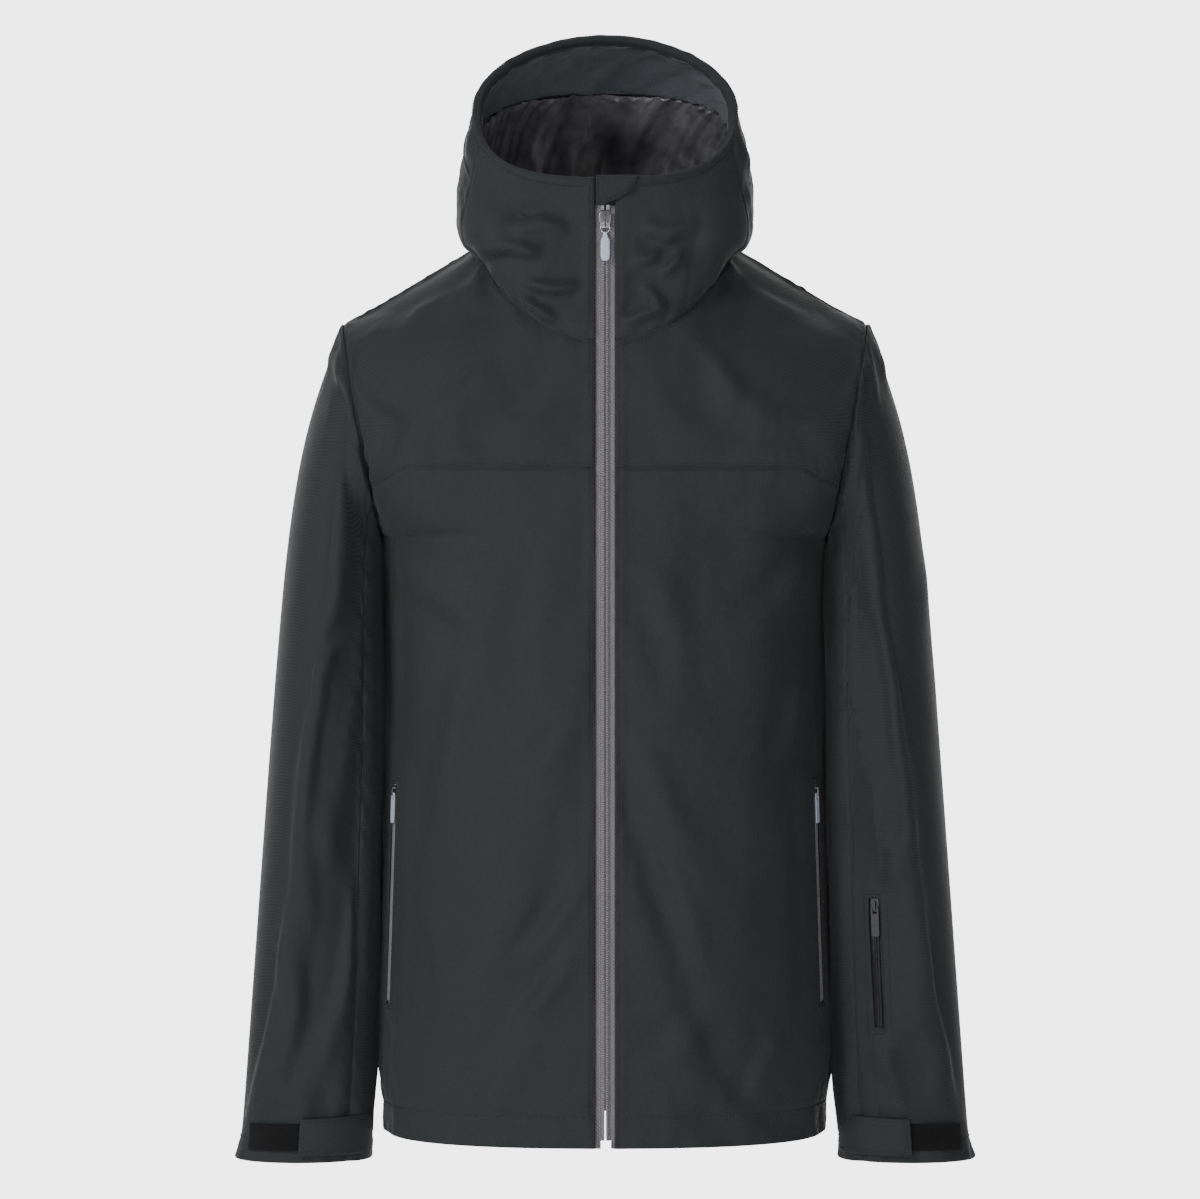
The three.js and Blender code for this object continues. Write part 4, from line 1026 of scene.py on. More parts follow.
MAIN_FRAME = ZipFrame("main_zip_slide", "main_pull_swing", MAIN_PIVOT, MAIN_START)
HAND_FRAMES = {side: ZipFrame(f"hand_zip_slide_{side}", f"hand_pull_swing_{side}", POCKET_PIVOT, POCKET_START)
               for side in ("left", "right")}
PASS_FRAME = ZipFrame("pass_zip_slide", "pass_pull_swing", POCKET_PIVOT, POCKET_START)


def slit_grid(zip_frame, length):
    """Columns that run straight beside a zip, and a gap between them for its length."""
    def make(cloth):
        v = cloth.v
        dense = np.linspace(*cloth.u_range, 241)[None, :]
        line = cloth.surface(dense, v, 0)
        s = run_lengths(line, 1)
        x, y, z = zip_frame.local(line)
        gap = np.abs(x) + FAR_AWAY * (np.abs(z) > NEAR_ZIP)
        near = np.argmin(np.where((y > -NEAR_END) & (y < length + NEAR_END), gap, 1e9), axis=1)
        rows = np.nonzero(((y > 0) & (y < length) & (gap < NEAR_END)).any(axis=1))[0]
        growing = np.sign(np.gradient(x[rows[0]])[near[rows[0]]])
        spot = s[rows, near[rows]] - x[rows, near[rows]] * growing
        centre = np.polyval(np.polyfit(v[rows, 0], spot, 1), v[:, 0])
        total = s[:, -1]
        low, high = centre - SLIT_HALF_WIDTH, centre + SLIT_HALF_WIDTH
        first = stations(low.mean(), 0, 1)
        second = stations((total - high).mean(), 0, 1)
        place = np.concatenate([first[None, :] * low[:, None],
                                high[:, None] + second[None, :] * (total - high)[:, None]], axis=1)
        u = np.stack([np.interp(place[k], s[k], dense[0]) for k in range(len(v))])
        column = cloth.slit_column = len(first) - 1
        middle = cloth.surface(u[:, column:column + 2].mean(axis=1), v[:, 0], 0)
        down = zip_frame.local(middle)[1]
        keep = whole(*place.shape)
        keep[(down[:-1] > -1) & (down[1:] < length + 1), column] = False
        return u, v, keep
    return make


def settle_at_zip(cloth, zip_frame, length, lift=0.5, bump=0.7):
    """Brings the finished cloth to the level of a zip let into it, with raised welts beside the slit."""
    x, y, z = zip_frame.local(cloth.points)
    outside = np.maximum(0, np.maximum(-y, y - length))
    far = np.hypot(np.maximum(0, np.abs(x) - 9), outside)
    weight = (1 - smooth(far / WELT_REACH)) * (np.abs(z) < 40)
    beside = np.abs(x)
    crest = bump * np.exp(-((beside - WELT_PLACE) / 2.3) ** 2)
    welt = lift + crest - 0.8 * np.clip(1 - (beside - WELT_EDGE) / 1.6, 0, 1) ** 2
    welt = np.where(outside > 0, lift + crest * np.exp(-outside / 3), welt)
    target = POCKET_TAPE_INSET + welt
    cloth.points = cloth.points + ((target - z) * weight)[..., None] * zip_frame.z
    return cloth

# ---- Stitches ----


# Along a thread, from -0.5 to 0.5 of its length, and how thick it is there
CAPSULE_PROFILE = ((-0.5, 0.35), (-0.4, 1.0), (0.0, 1.15), (0.4, 1.0), (0.5, 0.35))
STITCH_PITCH, STITCH_SHARE, STITCH_RISE, STITCH_BOW = 3.1, 0.68, 0.05, 0.22
STITCH_RADIUS = 0.42


def capsules(name, starts, ends, radius, made, body="root", bow=None, sides=6):
    """Many short threads in one mesh; bow lifts the middle of each along a normal."""
    bow = np.zeros_like(starts) if bow is None else bow
    way = unit(ends - starts)
    guide = np.where(np.abs(way[:, 2:3]) < 0.9, np.array([[0, 0, 1.0]]), np.array([[1.0, 0, 0]]))
    first = unit(np.cross(way, guide))
    second = np.cross(way, first)
    turn = np.linspace(0, 2 * math.pi, sides, endpoint=False)[None, :, None]
    circle = np.cos(turn) * first[:, None] + np.sin(turn) * second[:, None]
    loops = []
    for place, wide in CAPSULE_PROFILE:
        middle = (starts + ends) / 2 + (ends - starts) * place + bow * (1 - 4 * place * place)
        loops.append(middle[:, None] + radius * wide * circle)
    points = np.stack(loops, axis=1)
    count, deep = points.shape[:2]
    base = (np.arange(count) * deep * sides)[:, None, None]
    quads = (ring_faces(deep, sides)[None] + base).reshape(-1, 4).tolist()
    start_cap = np.arange(sides)
    end_cap = ((deep - 1) * sides + start_cap)[::-1]
    caps = (np.stack([start_cap, end_cap])[None] + base).reshape(-1, sides).tolist()
    piece = finish_mesh(name, points.reshape(-1, 3), quads + caps, made)
    return place_piece(piece, body)


def stitch_points(points, normals, pitch):
    """Start, end and bow of each stitch of a row of stitches along a line on the cloth."""
    run = np.concatenate([[0], np.cumsum(np.linalg.norm(np.diff(points, axis=0), axis=1))])
    places = np.arange(0, run[-1], pitch)
    at = lambda where, values: np.stack([np.interp(where, run, values[:, i]) for i in range(3)], axis=-1)
    lean = unit(at(places + pitch * STITCH_SHARE / 2, normals))
    rise = lean * STITCH_RISE
    return at(places, points) + rise, at(places + pitch * STITCH_SHARE, points) + rise, lean * STITCH_BOW


class Sewing:
    """Rows of stitches gathered into one piece of thread per body and name."""

    def __init__(self):
        self.rows = {}

    def row(self, name, points, normals, pitch=STITCH_PITCH, body="root"):
        self.rows.setdefault((name, body), []).append(stitch_points(points, normals, pitch))

    def beside(self, name, cloth, edge, place, part=1.0):
        points, normals = cloth.beside(edge, place)
        end = math.ceil(part * len(points))
        self.row(name, points[:end], normals[:end])

    def sew(self):
        for (name, body), rows in self.rows.items():
            starts, ends, bows = (np.concatenate([row[k] for row in rows]) for k in range(3))
            capsules(f"stitches_{name}", starts, ends, STITCH_RADIUS, THREAD, body, bow=bows)


SEWING = Sewing()

# ---- Shell ----
SIDES = (("left", 1), ("right", -1))
HEM_STITCH, CUFF_STITCH, ZIP_STITCH, SEAM_STITCH = 26, 20, 3.2, 3.4   # how far from its edge each row lies
NECK_STITCH_PART = 0.52          # the part of the yoke's top edge with stitches, from the zip
SLEEVE_SEAM = 135
COLLAR_END, SIDE_END = 67.5, 150   # where collar and hood side, and hood side and centre, meet
FOLD_STRENGTH, COLLAR_FOLD_STRENGTH = 1.7, 2.3
SIDE_BULGE = 3.4                 # how far the sides and the sleeves fill the space between them
SHOULDER_CAP = 6.5               # the height of the sleeve's padded head
YOKE_RELAXED = 24                # smoothing passes over the yokes' corners at neck and shoulder
HOOD_LOWEST = 1.9                # how far the hood's folds can sink towards its lining
HOOD_ROLL, HOOD_ROLL_Z = 11, 4   # the roll of the hood that hangs over the neck seam

# Listed folds: width, height and then the route's x and z from point to point, in front view
ARM_FOLDS = {
    "left": [(9, 4.2, 212, -76, 204, -120, 190, -176), (8, 3.8, 221, -160, 207, -205, 192, -250),
             (11, 3.6, 263, -482, 246, -520, 229, -562), (12, 3.0, 236, -300, 248, -372, 246, -440),
             (13, 2.6, 270, -250, 278, -330, 280, -420), (10, 3.2, 232, -610, 240, -660, 236, -705),
             (8, 2.6, 214, -470, 226, -500, 250, -515)],
    "right": [(9, 4.4, -229, -90, -214, -130, -198, -172), (8, 4.0, -211, -165, -201, -205, -189, -244),
              (11, 3.6, -233, -493, -216, -560, -216, -610, -236, -690),
              (13, 3.0, -250, -230, -262, -300, -262, -380), (12, 2.6, -284, -330, -276, -400, -283, -470),
              (9, 2.6, -214, -330, -232, -352, -254, -362), (11, 2.6, -276, -590, -262, -640, -268, -700)],
}
BODY_FOLDS = {
    "left": [(10, 2.6, 20, -432, 52, -520, 86, -604), (11, 2.2, 18, -400, 44, -455, 70, -514),
             (12, 2.8, 176, -262, 150, -300, 118, -330), (10, 2.2, 182, -330, 166, -390, 160, -440),
             (14, 2.0, 40, -270, 62, -330, 66, -395), (12, 2.2, 96, -640, 60, -676, 24, -690),
             (9, 1.8, 150, -660, 128, -700, 122, -730)],
    "right": [(9, 3.0, -18, -534, -44, -574, -72, -604), (9, 3.0, -25, -597, -54, -632, -82, -655),
              (12, 2.6, -117, -352, -130, -424, -148, -492), (8, 2.2, -29, -408, -45, -430, -64, -447),
              (12, 2.6, -176, -262, -148, -292, -112, -318), (14, 2.0, -44, -268, -58, -330, -52, -390),
              (10, 2.0, -150, -560, -140, -620, -150, -690)],
}
YOKE_FOLDS = {
    "left": [(7, 2.6, 64, -8, 100, -20, 124, -25), (12, 2.0, 66, -60, 96, -96, 112, -140),
             (11, 2.6, 196, -90, 172, -112, 140, -124)],
    "right": [(12, 2.2, -70, -62, -98, -92, -120, -132), (11, 2.6, -198, -86, -176, -112, -142, -130),
              (10, 1.6, -40, -120, -60, -150, -90, -168)],
}
COLLAR_FOLDS = {
    "left": [(5, 3.0, 31, -38, 45, -56, 14, -70), (5, 3.4, 64, -6, 58, -18, 45, -30),
             (7, 2.4, 30, 10, 52, 4, 78, 12), (6, 1.8, 20, -20, 40, -16, 60, 0)],
    "right": [(5, 3.0, -68, -38, -44, -42, -22, -40), (5, 3.0, -73, -44, -58, -58, -40, -72),
              (6, 3.6, -106, -8, -82, -6, -54, -14), (7, 2.0, -30, 8, -52, 14, -80, 6)],
}


def shape_shell():
    """Each cut piece of the shell on its surface, under the name of the node that it stands for."""
    cloths = {}

    def cut(node, surface, u_range, ease, **how):
        cloths[node] = Cloth(f"shell_{node}", surface, u_range, (0, 1), ease, **how)

    for name, side in SIDES:
        yoke = lambda u, v, inset, side=side: yoke_points(-1, side, u, 1 - np.asarray(v), inset)
        panel = lambda u, v, inset, side=side: panel_points(-1, side, u, v, inset)
        sleeve = lambda u, v, inset, side=side: sleeve_points(side, u, v, inset)
        hood = lambda u, v, inset, side=side: hood_points(side, u, v, inset)
        cut(f"front_yoke_{name}", yoke, (0, 1), (1.03, 1.0, 1.04), relaxed=YOKE_RELAXED)
        cut(f"front_panel_{name}", panel, (0, 1), (1.025, 1.02, 1.03),
            slit=slit_grid(HAND_FRAMES[name], HAND_ZIP_LENGTH))
        cut(f"upper_sleeve_{name}", sleeve, (-SLEEVE_SEAM, SLEEVE_SEAM), (1.05, 1.05, 1.035),
            slit=slit_grid(PASS_FRAME, PASS_ZIP_LENGTH) if name == "left" else None)
        cut(f"under_sleeve_{name}", sleeve, (SLEEVE_SEAM, 360 - SLEEVE_SEAM), (1.03, 1.03, 1.03))
        cut(f"collar_{name}", hood, (0, COLLAR_END), (1.04, 1.04, 1.04))
        cut(f"hood_side_{name}", hood, (COLLAR_END, SIDE_END), (1.04, 1.04, 1.05))
    back_yoke = both_sides(lambda side, u, v, inset: yoke_points(1, side, u, 1 - v, inset))
    back_panel = both_sides(lambda side, u, v, inset: panel_points(1, side, u, v, inset))
    crown = both_sides(lambda side, u, v, inset: hood_points(side, 180 - u * (180 - SIDE_END), v, inset))
    cut("back_yoke", back_yoke, (-1, 1), (1.02, 1.0, 1.03), relaxed=YOKE_RELAXED)
    cut("back_panel", back_panel, (-1, 1), (1.03, 1.02, 1.03))
    cut("hood_centre", crown, (-1, 1), (1.03, 1.04, 1.04))
    return cloths


def detail_front(name, side, yoke, panel):
    yoke.seam("right", "top", "bottom").turned_edge("left", reach=11)
    yoke.groove("left", ZIP_STITCH).groove("bottom", SEAM_STITCH, 0.4).groove("top", SEAM_STITCH, 0.4)
    yoke.pucker("bottom", 31 + side, 0.3).pucker("top", 33 + side, 0.6).pucker("right", 35 + side, 0.7, 15)
    yoke.pucker("left", 37 + side, 0.45, 8, 15)
    panel.seam("top").seam("right", depth=0.7).turned_edge("left", reach=11)
    panel.turned_edge("bottom", 0.5, 2.4, HEM_STITCH)
    below_arm = smooth((ARMPIT_Z - panel.base[..., 2]) / 12)
    panel.height += SIDE_BULGE * (1 - smooth(panel.right / 30)) * below_arm
    panel.groove("left", ZIP_STITCH).groove("bottom", HEM_STITCH, 0.8, 2.0)
    panel.pucker("top", 41 + side, 0.3).pucker("left", 43 + side, 0.6, 9, 16)
    panel.pucker("right", 45 + side, 0.6, 12, 18).pucker("bottom", 47 + side, 0.7, 30, 22)
    yoke.fold_all(YOKE_FOLDS[name])
    panel.fold_all(BODY_FOLDS[name])


def detail_sleeves(name, side, upper, under, yoke):
    """The sleeves' seams and folds, and the raised sleeve head that lifts the yoke's corner."""
    under.height += SIDE_BULGE * smooth(under.top / 14) * smooth(under.nearest("left", "right") / 13)
    cap = np.exp(-((upper.top - 34) / 32) ** 2) * np.cos(np.radians(upper.u) / 2) ** 6
    upper.height += SHOULDER_CAP * cap
    corner = np.exp(-(yoke.right / 24) ** 2) * np.exp(-((yoke.top - 10) / 26) ** 2) * smooth(yoke.right / 4)
    yoke.height += 0.25 * SHOULDER_CAP * corner
    for sleeve in (upper, under):
        sleeve.seam("left", "right", "top").turned_edge("bottom", 0.5, 2.4, CUFF_STITCH)
        sleeve.groove("bottom", CUFF_STITCH, 0.7, 1.8)
        sleeve.pucker("top", 51 + side, 0.8, 16, 15).pucker("bottom", 53 + side, 0.6, 24, 18)
        sleeve.pucker("left", 55 + side, 0.6, 12, 20).pucker("right", 57 + side, 0.6, 12, 20)
        sleeve.fold_all(ARM_FOLDS[name])


def detail_collar(name, side, collar, hood):
    """Seams and folds of collar and hood side, and the roll of cloth that hangs over the neck seam."""
    collar.seam("right", "top").turned_edge("left", reach=11).groove("left", ZIP_STITCH)
    collar.groove("top", SEAM_STITCH, 0.4).pucker("top", 61 + side, 0.8, 14, 12)
    hood.seam("left", "right", "top").groove("top", SEAM_STITCH, 0.4)
    hood.pucker("top", 63 + side, 0.9, 16, 13).pucker("left", 65 + side, 0.7, 12, 16)
    hood.crumple(67 + side, 1.1, 34, 1.4)
    for cloth in (collar, hood):
        cloth.fold_all(COLLAR_FOLDS[name], COLLAR_FOLD_STRENGTH)
        low = cloth.base[..., 2] - HOOD_ROLL_Z
        side_share = smooth((np.abs(cloth.base[..., 0]) - 62) / 40)
        over = np.where(low > 0, np.exp(-(low / 26) ** 2), np.exp(-(low / 9) ** 2))
        cloth.height += HOOD_ROLL * over * side_share * smooth(cloth.top / 6)


def detail_back(yoke, panel, crown):
    yoke.seam("left", "right", "top", "bottom").pucker("bottom", 71, 0.5).pucker("top", 72, 0.6)
    yoke.groove("bottom", SEAM_STITCH, 0.4).pucker("right", 73, 0.7, 15).pucker("left", 74, 0.7, 15)
    panel.seam("top").seam("left", "right", depth=0.7).turned_edge("bottom", 0.5, 2.4, HEM_STITCH)
    panel.height += SIDE_BULGE * (1 - smooth(panel.nearest("left", "right") / 30))
    panel.groove("bottom", HEM_STITCH, 0.8, 2.0).pucker("top", 75, 0.6).pucker("bottom", 76, 0.7, 30, 22)
    crown.seam("left", "right", "top").pucker("top", 77, 0.9, 16, 13).crumple(78, 1.1, 34, 1.4)


def detail_shell(cloths):
    """Seams, turned edges, puckers, folds and crumples of each piece of the shell."""
    for number, (node, cloth) in enumerate(cloths.items()):
        cloth.crumple(10 + 7 * number, 1.0, 70, 1.6)
        if "hood" in node or "collar" in node:
            cloth.lowest = HOOD_LOWEST
    for name, side in SIDES:
        of_side = [cloths[f"{part}_{name}"] for part in
                   ("front_yoke", "front_panel", "upper_sleeve", "under_sleeve", "collar", "hood_side")]
        yoke, panel, upper, under, collar, hood = of_side
        detail_front(name, side, yoke, panel)
        detail_sleeves(name, side, upper, under, yoke)
        detail_collar(name, side, collar, hood)
    detail_back(cloths["back_yoke"], cloths["back_panel"], cloths["hood_centre"])


def build_shell(cloths):
    """Makes the shell's pieces, those with a pocket zip brought to its level."""
    for node, cloth in cloths.items():
        cloth.shaped()
        if node.startswith("front_panel"):
            settle_at_zip(cloth, HAND_FRAMES[node.split("_")[-1]], HAND_ZIP_LENGTH)
        if node == "upper_sleeve_left":
            settle_at_zip(cloth, PASS_FRAME, PASS_ZIP_LENGTH)
        cloth.emit(SHELL, "shell_cloth", [node])


SEAM_RADIUS, LOOSE_SEAM_RADIUS = 1.7, 3.6   # the loose ones fill the wider gaps at neck and armhole


def close_seams(cloths):
    """The seam allowances, as a rounded fold of cloth just under each seam."""
    for node, cloth in cloths:
        lines = {"left": (slice(None), 0), "right": (slice(None), -1), "top": (0, slice(None))}
        for edge, where in lines.items():
            if edge == "left" and ("front" in node or "collar" in node):
                continue
            loose = edge == "top" and any(word in node for word in ("hood", "collar", "sleeve"))
            radius = LOOSE_SEAM_RADIUS if loose else SEAM_RADIUS
            lean = cloth.normal[where]
            line = cloth.base[where] - lean * (radius + 0.9)
            tube(f"{cloth.name}_seam_{edge}", line[::2], lean[::2], radius)


def tube(name, line, lean, radius, sides=10):
    """A closed round tube along a line; lean gives the direction of its first side."""
    way = unit(np.gradient(line, axis=0))
    first = unit(lean - np.sum(lean * way, axis=-1, keepdims=True) * way)
    second = np.cross(way, first)
    turn = np.linspace(0, 2 * math.pi, sides, endpoint=False)[None, :, None]
    rings = line[:, None] + radius * (np.cos(turn) * first[:, None] + np.sin(turn) * second[:, None])
    cap = np.arange(sides)
    faces = [*ring_faces(len(line), sides)[:, ::-1], cap[::-1], (len(line) - 1) * sides + cap]
    return place_piece(finish_mesh(name, rings.reshape(-1, 3), faces, SHELL))


def sew_shell(cloths):
    """The rows of topstitching beside the zip and seams, and at hem and cuffs."""
    for name, _ in SIDES:
        yoke, panel, collar = (cloths[f"{part}_{name}"] for part in ("front_yoke", "front_panel", "collar"))
        for cloth in (yoke, panel, collar):
            SEWING.beside(f"zip_edge_{name}", cloth, "left", ZIP_STITCH)
        SEWING.beside(f"yoke_{name}", yoke, "bottom", SEAM_STITCH)
        SEWING.beside(f"neck_{name}", yoke, "top", SEAM_STITCH, NECK_STITCH_PART)
        SEWING.beside(f"hem_{name}", panel, "bottom", HEM_STITCH)
        for arm in ("upper_sleeve", "under_sleeve"):
            SEWING.beside(f"cuff_{name}", cloths[f"{arm}_{name}"], "bottom", CUFF_STITCH)
    SEWING.beside("back_yoke", cloths["back_yoke"], "bottom", SEAM_STITCH)
    SEWING.beside("back_hem", cloths["back_panel"], "bottom", HEM_STITCH)


# ---- Hood: rim, facing and lining ----
FACING_DEPTH, HOOD_LINING_DEPTH = 7.4, 11.8
FACING_TOP, FACING_EDGE = 0.985, 0.69   # the facing's edges, as shares of the way from neck to rim
RIM_STITCH_ROW = 4               # the rows of stitches' place, in grid rows from the strip's edge


def around_hood(points):
    """A hood surface over both sides; u is -180 to 180 and 0 is the crown."""
    def across(u, v, inset):
        u, v = np.broadcast_arrays(np.asarray(u, float), np.asarray(v, float))
        place = points(180 - np.abs(u), v, inset)
        place[..., 0] = np.where(u < 0, -place[..., 0], place[..., 0])
        return place
    return across


def rim_path(count=25):
    """Across the rim: distance past the rim's line and inset, from the outside to the inside."""
    turn = np.linspace(0, 1, count)
    stops = [0, 0.1, 0.36, 0.46, 0.56, 0.66, 0.9, 1]
    past = np.interp(turn, stops, [-6.5, -6, -1, 2.2, 2.6, 0, -6, -6.5])
    inset = np.interp(turn, stops, [0.9, -1.1, -1.9, -0.9, 4.0, 7.4, 7.9, 6.2])
    return rounded(past, 2), rounded(inset, 2)


def hood_length():
    """Length of the hood's side from neck to rim."""
    t = np.linspace(0, 1, 41)
    return run_lengths(hood_outer(np.array([[90.0]]), t[:, None]), 0)[-1, 0]


def add_rim_fold():
    """The rim, where the shell turns over into the facing, as one rounded fold with gathers."""
    past, inset = rim_path()
    scale = 1 / hood_length()
    angle = np.linspace(-180, 180, 421)
    start = np.abs(angle)
    away = 180 - start
    grid = np.empty((len(past), len(angle), 3))
    gather = 0.3 * ripples(angle * 2.2, 0, 91, 22, waves=9)
    for k in range(len(past)):
        depth = inset[k] - gather * smooth(k / 8) * (0.5 + 0.5 * smooth((start - 10) / 30))
        line = hood_points(1, away, 1 + past[k] * scale, depth)
        line[:, 0] = np.where(angle < 0, -line[:, 0], line[:, 0])
        grid[k] = line
    solid_strip("shell_hood_rim", grid, 0.9, SHELL, swap=True)
    normal = -np.cross(np.gradient(grid, axis=1), np.gradient(grid, axis=0))
    for row in (RIM_STITCH_ROW, len(past) - RIM_STITCH_ROW):
        SEWING.row("hood_rim", grid[row, 8:-8], normal[row, 8:-8])


def solid_strip(name, grid, thick, made, body="root", replaced=(), swap=False):
    """A slab from a grid of surface points; its thickness goes to the grid's back."""
    normal = unit(np.cross(np.gradient(grid, axis=1), np.gradient(grid, axis=0)))
    faces = slab_faces(*grid.shape[:2], whole(*grid.shape[:2]))
    if swap:
        normal, faces = -normal, faces[:, ::-1]
    s, t = run_lengths(grid, 1), run_lengths(grid, 0)
    piece = slab_mesh(name, grid, grid - normal * thick, faces, made, s, t)
    place_piece(piece, body, replaced)
    return piece


def shape_hood_inside():
    """The facing, shell cloth inside the rim, and the taffeta lining below its gathered seam. The facing is
    built in a lighter copy of the shell cloth, which paints in the light that falls on it.
    """
    facing = around_hood(lambda angle, v, inset: hood_points(
        1, angle, mix(FACING_TOP, FACING_EDGE, v), FACING_DEPTH + 1.5 * np.asarray(v) - inset))
    band = Cloth("hood_facing", facing, (-178, 178), (0, 1), ease=(1.05, 1.05, 1.04), pitch=2.6)
    lining = around_hood(lambda angle, v, inset: hood_points(
        1, angle, mix(FACING_EDGE, 0.02, v), HOOD_LINING_DEPTH - 3.0 * (1 - np.asarray(v)) - inset))
    drop = Cloth("hood_lining", lining, (-177, 177), (0, 1), ease=(1.12, 1.12, 1.09), pitch=2.8)
    for cloth in (band, drop):
        cloth.held = "gathered"
    return band, drop


def gathers(run, seed, wavelength):
    """Uneven ruffles along an elastic: rounded crests with sharp valleys between."""
    wander = run + 4.5 * ripples(run, 0, seed, wavelength * 4, waves=9)
    wave = np.sin(2 * math.pi * wander / wavelength)
    fine = np.sin(2 * math.pi * wander / (wavelength * 0.53) + 1.3)
    return 0.75 * (1 - 2 * np.abs(wave) ** 0.7 + 0.6) + 0.35 * fine


def detail_hood(band, drop):
    """The elastic's ruffles in the facing, and the lining's pleats, creases, slump and seams."""
    band.lowest, drop.lowest = 1.6, 2.6
    ruffle = gathers(band.s, 81, 13)
    band.height += 2.4 * ruffle * np.exp(-band.bottom / 9) * smooth(band.bottom / 1.5 + 0.3)
    band.height += 0.8 * ripples(band.s, band.t * 0.3, 82, 24)
    band.height -= 1.6 * np.exp(-(band.bottom / 2.2) ** 2)
    band.crumple(83, 0.7, 30)
    pleats = gathers(drop.s + 0.16 * drop.t, 84, 27)
    fade = np.exp(-drop.top / 75) * smooth(drop.top / 3 + 0.2)
    drop.height += (3.4 * pleats + 1.6 * gathers(drop.s, 81, 13) * np.exp(-drop.top / 16)) * fade
    drop.height += 2.6 * ripples(drop.s, drop.t, 86, 52, 1.8) * smooth(drop.bottom / 12)
    crease = np.exp(-(ripples(drop.s, drop.t, 87, 60, 2.2) / 0.14) ** 2)
    drop.height -= 1.3 * crease * smooth(drop.bottom / 15)
    slump = drop.bottom - 46 - 9 * ripples(drop.s, 0, 88, 120)
    drop.height += 4.5 * np.exp(-(slump / 7) ** 2) - 4.0 * np.exp(-((slump + 13) / 6) ** 2)
    for place in (-68, 62):
        seam = drop.s - drop.s[:, -1:] / 2 - place
        drop.height -= 2.2 * np.exp(-(seam / 1.8) ** 2) * smooth(drop.bottom / 20)


def build_hood(band, drop):
    # The facing gets the lighter copy of the shell cloth, as painted light.
    band.build(LIT_FACING_CLOTH, "shell_cloth", ["hood_facing"])
    drop.build(LINING, "lining_taffeta", ["hood_lining"])
    add_rim_fold()


# ---- Inner layers: padding, linings, pocket bags ----
# Depths below the shell's surface
INSULATION, LINING_LAYER, BAG_LAYER, PASS_BAG = (6.6, 10.2), (11.1, 11.8), (5.3, 5.8), (5.95, 6.2)
HOOD_INSULATION = (3.4, 5.4)
LINING_GAP = 14                  # how far above hem and cuff the inner layers end
LAYER_PITCH, LAYER_ROWS = 9, 64
FILL = 0.3                       # the share of its volume that padding can be pressed to
YOKE_PART = 0.26                 # the yoke's share of a lining's length
POCKET_TOP_Z, POCKET_BOTTOM_Z = NECK_POINT_Z - 449, NECK_POINT_Z - 663
YOKE_SEAM_Z = NECK_POINT_Z - FRONT_YOKE_DROP
POCKET_RANGE = [(z - YOKE_SEAM_Z) / (HEM_Z - YOKE_SEAM_Z) for z in (POCKET_TOP_Z, POCKET_BOTTOM_Z)]


def inner_layer(name, surface, u_range, v_range, layer, made, fill=None):
    """A layer between two depths, as a slab whose edges puff up; the given fill makes no difference to it."""
    columns = max(6, int(abs(surface_width(surface, u_range, v_range)) / LAYER_PITCH))
    u = np.linspace(*u_range, columns)[None, :]
    v = np.linspace(*v_range, LAYER_ROWS)[:, None]
    outer, inner = surface(u, v, layer[0]), surface(u, v, layer[1])
    s, t = run_lengths(outer, 1), run_lengths(outer, 0)
    puff = 0.25 * (layer[1] - layer[0]) * (1 - smooth(edge_distance(s, t) / 12))
    inward = unit(inner - outer)
    outer, inner = outer + inward * puff[..., None], inner - inward * puff[..., None]
    faces = slab_faces(*s.shape, whole(*s.shape))
    if grid_normals(outer, inward)[1]:
        faces = faces[:, ::-1]
    piece = slab_mesh(name, outer, inner, faces, made, s, t)
    place_piece(piece, "root", [name])
    if fill is not None:
        return


def surface_width(surface, u_range, v_range):
    line = surface(np.linspace(*u_range, 41)[None, :], np.array([[sum(v_range) / 2]]), 0)
    return run_lengths(line, 1)[0, -1]


def whole_points(face, side, u, v, inset):
    """Yoke and panel as one surface: v runs from 0 at the shoulder to 1 at the lining's hem."""
    v = np.asarray(v, float)
    yoke = yoke_points(face, side, u, np.clip(1 - v / YOKE_PART, 0, 1), inset)
    down = np.clip((v - YOKE_PART) / (1 - YOKE_PART), 0, 1)
    panel = panel_points(face, side, u, down, inset, HEM_Z + LINING_GAP)
    return np.where((v < YOKE_PART)[..., None] + 0 * yoke > 0.5, yoke, panel)


def add_inner_layers():
    """Padding, linings and pocket bags, each at its own depth below the shell."""
    def padding(name, surface, u_range, v_range, layer=INSULATION):
        inner_layer(name, surface, u_range, v_range, layer, PADDING, FILL)

    def lining(name, surface, u_range, v_range):
        inner_layer(name, surface, u_range, v_range, LINING_LAYER, LINING)

    end = 1 - LINING_GAP / (TIP_Z - CUFF_Z)
    for name, side in SIDES:
        front = lambda u, v, inset, side=side: whole_points(-1, side, u, v, inset)
        bag = lambda u, v, inset, side=side: panel_points(-1, side, u, v, inset)
        arm = lambda u, v, inset, side=side: sleeve_points(side, u, v, inset)
        padding(f"front_padding_{name}", front, (0.09, 1), (0, 1))
        lining(f"front_lining_{name}", front, (0.04, 1), (0, 1))
        inner_layer(f"hand_pocket_bag_{name}", bag, (0.4, 0.9), POCKET_RANGE, BAG_LAYER, POCKET)
        padding(f"sleeve_padding_{name}", arm, (-179.5, 179.5), (0, end))
        lining(f"sleeve_lining_{name}", arm, (-179.5, 179.5), (0, end))
    back = both_sides(lambda side, u, v, inset: whole_points(1, side, u, v, inset))
    padding("back_padding", back, (-1, 1), (0, 1))
    lining("back_lining", back, (-1, 1), (0, 1))
    hood = around_hood(lambda angle, v, inset: hood_points(1, angle, v, inset))
    padding("hood_padding", hood, (-174, 174), (0.01, 0.7), HOOD_INSULATION)
    arm = lambda u, v, inset: sleeve_points(1, u, v, inset)
    inner_layer("pass_pocket_bag", arm, (90, 135), (0.66, 0.86), PASS_BAG, POCKET)


